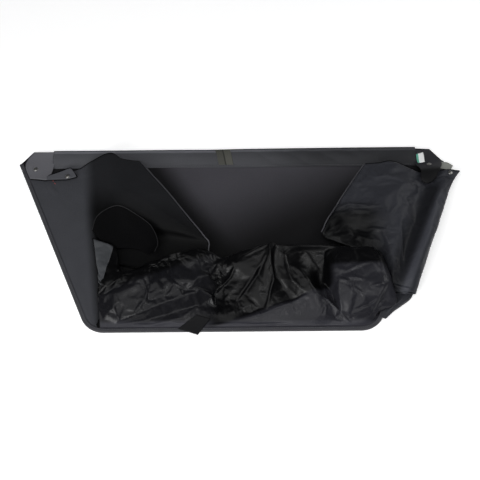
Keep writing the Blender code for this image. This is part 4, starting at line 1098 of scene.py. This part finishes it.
def left_wall_grid(net):
    """The left wall: its net, creased, and gently buckled."""
    grid = creased(net.grid(14, 12), LEFT_CREASES)
    free = beyond_flange(net, grid.shape[1], 2.6, 3.6)
    grid[..., 2] += free * crumpled(grid[..., 0], grid[..., 1], LEFT_CRUMPLES)
    return grid


def right_wall_grid(net):
    """The right wall: softer cloth, so its net has many small sharp wrinkles."""
    grid = creased(net.grid(18, 10), RIGHT_CREASES)
    free = beyond_flange(net, grid.shape[1], 2.6, 3.6)
    grid[..., 2] += free * crumpled(grid[..., 0], grid[..., 1], RIGHT_CRUMPLES)
    hold = np.clip(1 - 0.93 * free * np.ones((len(grid), 1)), 0, 1)
    hold[0] = hold[-1] = 1.0
    hold[:, -1] = 1.0
    return settled(grid, hold, growth=0.015, frames=14, stiffness=0.3)


def vinyl_grid(net):
    """The vinyl bottom wall: its net brought through its folds, with a narrow ridge along
    each of the sharp ones, crinkled in flat facets of three sizes, which hardly show on the
    smooth triangle and are fainter on the box's front, and then left to buckle."""
    grid = folded(net, 20, 12, VINYL_FOLDS)
    grid = creased(grid, VINYL_RIDGES)
    free = beyond_flange(net, grid.shape[1], 2.3, 3.4) * np.ones((len(grid), 1))
    x, y = grid[..., 0].copy(), grid[..., 1].copy()
    smooth = 0.9 * within(x, y, SMOOTH_TRIANGLE, 10.0) + 0.6 * within(x, y, BOX_FRONT, 8.0)
    grid[..., 2] += free * crumpled(x, y, VINYL_CRUMPLES) * (1 - smooth)
    grid[..., 2] = np.maximum(grid[..., 2], FLANGE_Z)
    hold = np.clip(1 - 0.95 * free, 0, 1)
    grid = settled(grid, hold, growth=0.02, frames=14, stiffness=0.5)
    grid[..., 2] = np.maximum(grid[..., 2], FLANGE_Z)
    return grid


def pleat_grid(net):
    """The pleat at the lower right corner: its net, pinched into three long folds that run
    down it from the hem."""
    grid = net.grid(12, 12)
    across = np.linspace(0, 3, grid.shape[1])[None, :]
    down = np.linspace(0, 1, grid.shape[0])[:, None]
    inner = np.sin(math.pi * across / 3) * np.sin(math.pi * np.clip(down * 1.1, 0, 1))
    grid[..., 2] += 1.6 * inner * np.abs(np.sin(math.pi * (across + 0.4 * down)))
    return grid


def highlight_strip_grid(grid):
    """A lighter strip on the vinyl's upper left corner, its colour a painted highlight: the vinyl's own first rows,
    drawn in towards the corner's edge as they go down, and lifted clear of it."""
    part = grid[HIGHLIGHT_STRIP_PART]
    wide = np.linspace(0, 1, part.shape[0])[:, None, None]
    down = np.linspace(1, 0, part.shape[1])[None, :, None]
    narrow = 1 - HIGHLIGHT_STRIP_NARROWING * down ** 1.5
    return part[:1] + (part - part[:1]) * narrow * np.ones_like(wide) + np.array([0, 0, HIGHLIGHT_STRIP_LIFT])


def edge_grid(edge, inner, low, high, lift):
    """A narrow strip along a cloth's edge: from low to high past it, away from a line
    inside it, and lifted."""
    out = edge - inner
    out[:, 2] = 0
    return strip(edge, out, np.linspace(low, high, 4), lift)


def rim_grid(grid):
    """The gusset's bound rim: a strip standing on the first row of its grid."""
    return strip(grid[0], grid[0] - grid[2], RIM_REACH, RIM_LIFT)


def sleeve_patch_grid():
    """The patch on the sleeve's top: two slanting strips side by side, with a groove between."""
    length = SLEEVE_RIGHT - SLEEVE_LEFT
    left = (PATCH_LEFT_TOP - SLEEVE_LEFT) / length
    right = left + PATCH_WIDTH / length
    slant = PATCH_SLANT / length
    start, end = PATCH_SPAN
    corners = [(left, start), (right, start), (right + slant, end), (left + slant, end)]
    grid = patch_grid(SLEEVE, corners, PATCH_STEPS, SLEEVE_CLOTH / 2 + PATCH_CLEARANCE + TAPE_CLOTH / 2)
    down, over = grid.shape[:2]
    grid = slackened(grid, np.linspace(start, end, down)[:, None])
    depth, reach = PATCH_GROOVE
    groove = np.exp(-((np.linspace(-1, 1, over)) / reach) ** 2)
    grid[..., 2] -= depth * groove[None, :]
    return grid


def studio_floor():
    """A white paper sweep. What looks at it sees it at full white, less the object's shadow."""
    made, tree, shader = material("white_paper_floor")
    shader.inputs["Base Color"].default_value = linear("#F0F0F0")
    shader.inputs["Roughness"].default_value = 0.9
    rays = add(tree, "ShaderNodeLightPath")
    seen = add(tree, "ShaderNodeMath", {0: rays.outputs["Is Camera Ray"], 1: rays.outputs["Is Glossy Ray"]},
               operation="MAXIMUM")
    seen = add(tree, "ShaderNodeMath", {0: seen.outputs[0], 1: rays.outputs["Is Transmission Ray"]},
               operation="MAXIMUM")
    glow = add(tree, "ShaderNodeMath", {0: seen.outputs[0], 1: 0.45}, operation="MULTIPLY")
    shader.inputs["Emission Color"].default_value = (1, 1, 1, 1)
    tree.links.new(glow.outputs[0], shader.inputs["Emission Strength"])
    return made


def area_light(name, place, aim, size, power):
    """A soft rectangular lamp, turned to its aim."""
    lamp = bpy.data.lights.new(name, "AREA")
    lamp.shape = "RECTANGLE"
    lamp.size, lamp.size_y = size
    lamp.energy = power
    holder = placed(name, lamp)
    holder.location = place
    holder.rotation_euler = (Vector(place) - Vector(aim)).to_track_quat("Z", "Y").to_euler()


# Directions for zones of painted shade, painted highlight and other tone changes, in the row frame or along the cloth
RIGHTWARDS = ("Object", (1.0, 0.0, 0.0))
UPWARDS = ("Object", (0.0, 1.0, 0.0))
ACROSS_SIDE = ("Object", (0.918, -0.396, 0.0))
ALONG_U = ("UV", (1.0, 0.0, 0.0))
ALONG_V = ("UV", (0.0, 1.0, 0.0))
# Painted shade on the rear panel, low in the bag next to the crumpled vinyl
LOW_IN_BAG = ("Object", (-0.45, 1.0, 0.0), 0.19, -0.04)
# Painted shadow on the rear panel beside the left flap's free edge
BESIDE_FLAP = ("Object", (0.817, 0.576, 0.0), -0.005, -0.065)
# Painted shade on the left wall's flap past its fold
FLAP = ("Object", (1.0, 0.116, 0.0), -0.385, -0.345)
# Painted shade at the flap's lower end, in the pit
FLAP_END = ("Object", (0.35, 1.0, 0.0), 0.03, -0.07)
# Painted shade on the vinyl over its fan of pleats
FAN = ("Object", (-0.315, 0.949, 0.0), -0.216, -0.204)
# Painted shade on the vinyl behind the left pile's crest
ABOVE_PILE = ("Object", (-0.33, 0.944, 0.0), -0.052, -0.036)
# Rear panel: painted shade low in the bag next to the crumpled vinyl, and a painted shadow beside the left flap's free
# edge
PANEL_CLOTH = coated_polyester("coated_polyester_rear_panel", "#434247", 0.65, spread=0.06, gloss=0.15,
                               shades=[(0.1, [LOW_IN_BAG]), (0.15, [BESIDE_FLAP])])
# Left wall: painted shade darkens the flap past its fold, and darker still at the flap's lower end in the pit
LEFT_CLOTH = coated_polyester("coated_polyester_left_wall", "#3E3F43", 0.6, gloss=0.09,
                              shades=[(0.3, [FLAP]), (0.1, [FLAP, FLAP_END])])
SIDE_TAB_CLOTH = coated_polyester("coated_polyester_side_tab", "#46474C", 0.55)
# Right wall: painted shade in the pit under its flap and down the inner side of its rolled column, and a painted
# highlight in a band along the column
RIGHT_CLOTH = coated_polyester("soft_coated_polyester_right_wall", "#313237", 0.42, depth=0.2, gloss=0.14,
                               shades=[(0.06, [(*UPWARDS, 0.09, 0.035),
                                               (*RIGHTWARDS, 0.39, 0.31)]),
                                       (0.35, [(*ACROSS_SIDE, 0.365, 0.395),
                                               (*ACROSS_SIDE, 0.426, 0.408),
                                               (*UPWARDS, 0.15, 0.12)]),
                                       (1.60, [(*ACROSS_SIDE, 0.416, 0.428),
                                               (*ACROSS_SIDE, 0.444, 0.434),
                                               (*UPWARDS, 0.12, 0.08)])])
# Lighter glossy cloth for the strip over the vinyl's corner: a painted highlight
HIGHLIGHT_STRIP_CLOTH = coated_polyester("painted_highlight_strip_cloth", "#3E4043", 0.4, gloss=0.5)
# Near black for the gusset: painted shade, so that its niche reads as a dark hole
GUSSET_SHADE_CLOTH = coated_polyester("gusset_black_painted_shade", "#030304", 0.8, gloss=0.08)
EDGE_TAPE = coated_polyester("black_edge_tape", "#121214", 0.6, gloss=0.3)
# Black for the strips under cloth edges: painted shadow lines
SHADOW_LINE_CLOTH = coated_polyester("black_painted_shadow_line", "#050506", 0.8, gloss=0.08)
PULL_CLOTH = coated_polyester("black_pull_tab_cloth", "#0E0E10", 0.7, gloss=0.2)
LEFT_TAB_CLOTH = coated_polyester("dense_left_tab_cloth", "#5F5F64", 0.65, spread=0.05,
                                  shades=[(0.8, [(*ALONG_V, 0.05, 0.1)])])
TAB_CLOTH = coated_polyester("dense_right_tab_cloth", "#2C2C30", 0.65, spread=0.05, gloss=0.2,
                             shades=[(0.12, [(*ALONG_V, 0.06, 0.095)])])
# Sleeve: a painted highlight along its back fold, made by darkening the cloth on both sides of it; the cloth is also
# darker towards its right end and paler towards its left end
SLEEVE_FINISH = coated_polyester("woven_sleeve_cloth", "#68696E", 0.6, thread=2.6, depth=0.8, gloss=0.15,
                                 shades=[(0.45, [(*ALONG_U, 0.058, 0.064)]),
                                         (0.45, [(*ALONG_U, 0.057, 0.052)]),
                                         (0.5, [(*RIGHTWARDS, 0.02, 0.22)]),
                                         (1.25, [(*RIGHTWARDS, 0.0, -0.25)])])
# Vinyl: painted shade over the fan of pleats, over the top of the box and behind the left pile's crest, darker over the
# left pile, and a painted highlight along the front strip at the bottom edge
VINYL_FINISH = vinyl_film([
    (0.08, [FAN, (*RIGHTWARDS, -0.10, -0.05), (*RIGHTWARDS, 0.235, 0.215)]),
    (0.10, [(*UPWARDS, -0.108, -0.094), (*RIGHTWARDS, 0.205, 0.225)]),
    (0.15, [ABOVE_PILE, (*RIGHTWARDS, -0.05, -0.09)]),
    (0.40, [(*RIGHTWARDS, -0.05, -0.09), (*UPWARDS, -0.232, -0.222)]),
    (1.80, [(*UPWARDS, -0.226, -0.234)]),
])
PLEAT_FINISH = coated_polyester("coated_corner_pleat", "#2B2C31", 0.4, gloss=0.4)
BINDING_FINISH = binding_tape()
OLIVE_TAPE = webbing("olive_cloth_tape", "#56564F", 1.6,
                     shades=[(0.3, [(*ALONG_U, 0.0155, 0.0175), (*ALONG_U, 0.0215, 0.0195)]),
                             (0.8, [(*ALONG_U, 0.018, 0.016)])])
PALE_WEBBING = webbing("pale_webbing", "#A3A59E", 1.8)
NICKEL = nickel_plate()
LABEL_FINISH = label_film()
PALE_THREAD = thread("grey_polyester_thread", "#5C5C62")
RED_THREAD = thread("red_basting_thread", "#96403A")

SLEEVE = sleeve_net()
LEFT = wall_net(LEFT_WALL, WALL_TURN, -1.0, -1.0)
RIGHT = wall_net(RIGHT_WALL, WALL_TURN, 1.0, 1.0)
BOTTOM = wall_net(BOTTOM_WALL, VINYL_TURN, 1.0, -1.0)
LEFT_TAB = corner_net(LEFT_CORNER_TAB, -1.0)
SIDE_TAB = corner_net(LEFT_SIDE_TAB, -1.0)
RIGHT_TAB = corner_net(RIGHT_CORNER_TAB, 1.0)
SLEEVE_GRID = sleeve_grid(SLEEVE)
LEFT_GRID = left_wall_grid(LEFT)
RIGHT_GRID = right_wall_grid(RIGHT)
VINYL_GRID = vinyl_grid(BOTTOM)
GUSSET_GRID = gusset_net().grid(12, 10)
LABEL_GRID = patch_grid(RIGHT_TAB, LABEL_CORNERS, (8, 8), WALL_CLOTH / 2 + LABEL_LIFT)

cloth_piece("rear_panel_cloth", panel_grid(), PANEL_THICKNESS, PANEL_CLOTH, "panel_cloth", "rear_panel")
cloth_piece("edge_binding_tape", binding_grid(), BINDING_TAPE, BINDING_FINISH, "binding_tape", "edge_binding")
cloth_piece("tube_sleeve", SLEEVE_GRID, SLEEVE_CLOTH, SLEEVE_FINISH, "sleeve_cloth", "top_sleeve")
cloth_piece("olive_tape_patch", sleeve_patch_grid(), TAPE_CLOTH, OLIVE_TAPE, "patch_tape", "sleeve_patch")
cloth_piece("left_wall_cloth", LEFT_GRID, WALL_CLOTH, LEFT_CLOTH, "left_wall_cloth", "left_side_wall")
cloth_piece("right_wall_cloth", RIGHT_GRID, WALL_CLOTH, RIGHT_CLOTH, "right_wall_cloth", "right_side_wall")
cloth_piece("crumpled_vinyl_wall", VINYL_GRID, VINYL, VINYL_FINISH, "vinyl", "bottom_wall")
# Painted highlight: a lighter strip over the vinyl's upper left corner
cloth_piece("corner_painted_highlight_strip", highlight_strip_grid(VINYL_GRID), WALL_CLOTH, HIGHLIGHT_STRIP_CLOTH, "left_wall_cloth")
cloth_piece("corner_vinyl_pleat", pleat_grid(Net(CORNER_PLEAT)), VINYL, PLEAT_FINISH, "vinyl", "corner_pleat")
# The gusset, coloured as painted shade
cloth_piece("left_gusset_cloth", GUSSET_GRID, WALL_CLOTH, GUSSET_SHADE_CLOTH, "gusset_cloth", "left_gusset")
cloth_piece("gusset_bound_rim", rim_grid(GUSSET_GRID), RIM_CLOTH, EDGE_TAPE, "binding_tape")
cloth_piece("left_mouth_binding", piping_grid(LEFT_GRID, LEFT_PIPING_ROWS), PIPING, BINDING_FINISH, "binding_tape",
            "left_mouth_piping")
cloth_piece("right_mouth_binding", piping_grid(RIGHT_GRID, RIGHT_PIPING_ROWS), PIPING, BINDING_FINISH, "binding_tape",
            "right_mouth_piping")
cloth_piece("left_corner_tab_cloth", LEFT_TAB.grid(10, 10), WALL_CLOTH, LEFT_TAB_CLOTH, "tab_cloth", "left_corner_tab")
cloth_piece("left_side_tab_cloth", SIDE_TAB.grid(8, 12), WALL_CLOTH, SIDE_TAB_CLOTH, "left_wall_cloth", "left_side_tab")
cloth_piece("right_corner_tab_cloth", RIGHT_TAB.grid(10, 10), WALL_CLOTH, TAB_CLOTH, "tab_cloth", "right_corner_tab")
cloth_piece("pale_webbing_end", corner_net(CORNER_WEBBING, 1.0).grid(10, 10), WALL_CLOTH, PALE_WEBBING, "pale_webbing",
            "corner_webbing")
cloth_piece("dark_pull_tab", Net(PULL_TAB).grid(10, 10), WALL_CLOTH, PULL_CLOTH, "gusset_cloth", "pull_tab")
cloth_piece("blank_white_label", LABEL_GRID, LABEL_FILM, LABEL_FINISH, "label_film", "blank_label")

# Black strips painted as shadow lines, tucked under edges that stand clear of the cloth beneath: the edge, a line
# inside it, how far the strip reaches past the edge, from and to, and its lift
TAB_ROWS = np.linspace(0, 3, 40)
SIDE_COLUMNS = np.linspace(0.1, 3, 40)
SIDE_ROWS = np.linspace(0, 2, 20)
EDGES = {
    "left_tab_lower_edge": (LEFT_TAB.at(3.0, TAB_ROWS), LEFT_TAB.at(2.8, TAB_ROWS), -0.4, 2.4, -1.2),
    "side_tab_upper_edge": (SIDE_TAB.at(0.0, SIDE_COLUMNS), SIDE_TAB.at(0.3, SIDE_COLUMNS), -0.4, 3.0, -1.6),
    "side_tab_end_edge": (SIDE_TAB.at(SIDE_ROWS, 3.0), SIDE_TAB.at(SIDE_ROWS, 2.8), -0.4, 2.6, -1.6),
    "side_tab_lower_edge": (SIDE_TAB.at(2.0, SIDE_COLUMNS), SIDE_TAB.at(1.8, SIDE_COLUMNS), -0.4, 1.6, -1.4),
    "left_wall_top_edge": (LEFT_GRID[0, 50:].copy(), LEFT_GRID[2, 50:], -0.5, 2.6, -0.9),
    "right_wall_top_edge": (RIGHT_GRID[0, 40:].copy(), RIGHT_GRID[2, 40:], -0.5, 2.8, -0.9),
}
for edge_name, (edge, inner, low, high, lift) in EDGES.items():
    cloth_piece(edge_name, edge_grid(edge, inner, low, high, lift), SHADOW_LINE_THICKNESS, SHADOW_LINE_CLOTH, "binding_tape")

snap("left_corner_snap", LEFT_TAB, LEFT_TAB_SNAP, WALL_CLOTH, NICKEL)
snap("left_side_snap", SIDE_TAB, LEFT_SIDE_SNAP, WALL_CLOTH, NICKEL)
snap("right_corner_snap", RIGHT_TAB, RIGHT_TAB_SNAP, WALL_CLOTH, NICKEL)
snap("right_wall_snap", RIGHT, RIGHT_WALL_SNAP, WALL_CLOTH, NICKEL)

# Sewing
ROUND = np.linspace(-2.99, 2.99, 700)
BINDING_LINE = np.column_stack([*seam(ROUND, BINDING_SEAM), np.full(len(ROUND), BINDING_TOP + THREAD_LIFT)])
stitch_row("binding_stitches", BINDING_LINE, PALE_THREAD)
SLEEVE_LINE = SLEEVE_GRID[4:-4, SLEEVE_SEAM] + np.array([0, -0.2, SLEEVE_CLOTH / 2 + THREAD_LIFT])
stitch_row("sleeve_stitches", SLEEVE_LINE, PALE_THREAD)
TAB_EDGE = np.linspace(0.3, 2.7, 60)
LEFT_TAB_LINE = LEFT_TAB.at(TAB_EDGE, 0.22) + LEFT_TAB.normal(TAB_EDGE, 0.22) * (WALL_CLOTH / 2 + THREAD_LIFT)
stitch_row("left_tab_stitches", LEFT_TAB_LINE, PALE_THREAD)
BASTING_LINE = on_cloth(LEFT_GRID, BASTING_PLACES, WALL_CLOTH / 2 + 2 * THREAD_LIFT)
stitch_row("red_basting_stitches", BASTING_LINE, RED_THREAD, BASTING_PITCH, BASTING_LENGTH,
           BASTING_WIDTH)

# Floor, light and camera
floor_mesh = bpy.data.meshes.new("floor")
floor_mesh.from_pydata([(x * FLOOR_HALF, y * FLOOR_HALF, 0) for x, y in ((-1, -1), (1, -1), (1, 1), (-1, 1))], [],
                       [(0, 1, 2, 3)])
floor_mesh.materials.append(studio_floor())
floor = placed("floor", floor_mesh)

for lamp in LAMPS:
    area_light(*lamp)

world = bpy.data.worlds.new("studio")
bpy.context.scene.world = world
world.use_nodes = True
world.node_tree.nodes["Background"].inputs["Color"].default_value = linear(SKY[0])
world.node_tree.nodes["Background"].inputs["Strength"].default_value = SKY[1]

camera_data = bpy.data.cameras.new("photograph_camera")
camera_data.angle = 2 * math.atan(PICTURE_HALF / FOCAL_LENGTH)
camera = placed("photograph_camera", camera_data)
direction = Vector((0, -math.cos(VIEW_ELEVATION), math.sin(VIEW_ELEVATION)))
camera.location = Vector(np.array(VIEW_CENTRE) * MM + ROOT) + direction * VIEW_DISTANCE
camera.rotation_euler = (direction.to_track_quat("Z", "Y").to_matrix() @ Matrix.Rotation(VIEW_ROLL, 3, "Z")).to_euler()
bpy.context.scene.camera = camera
bpy.context.scene.view_settings.view_transform = "Standard"
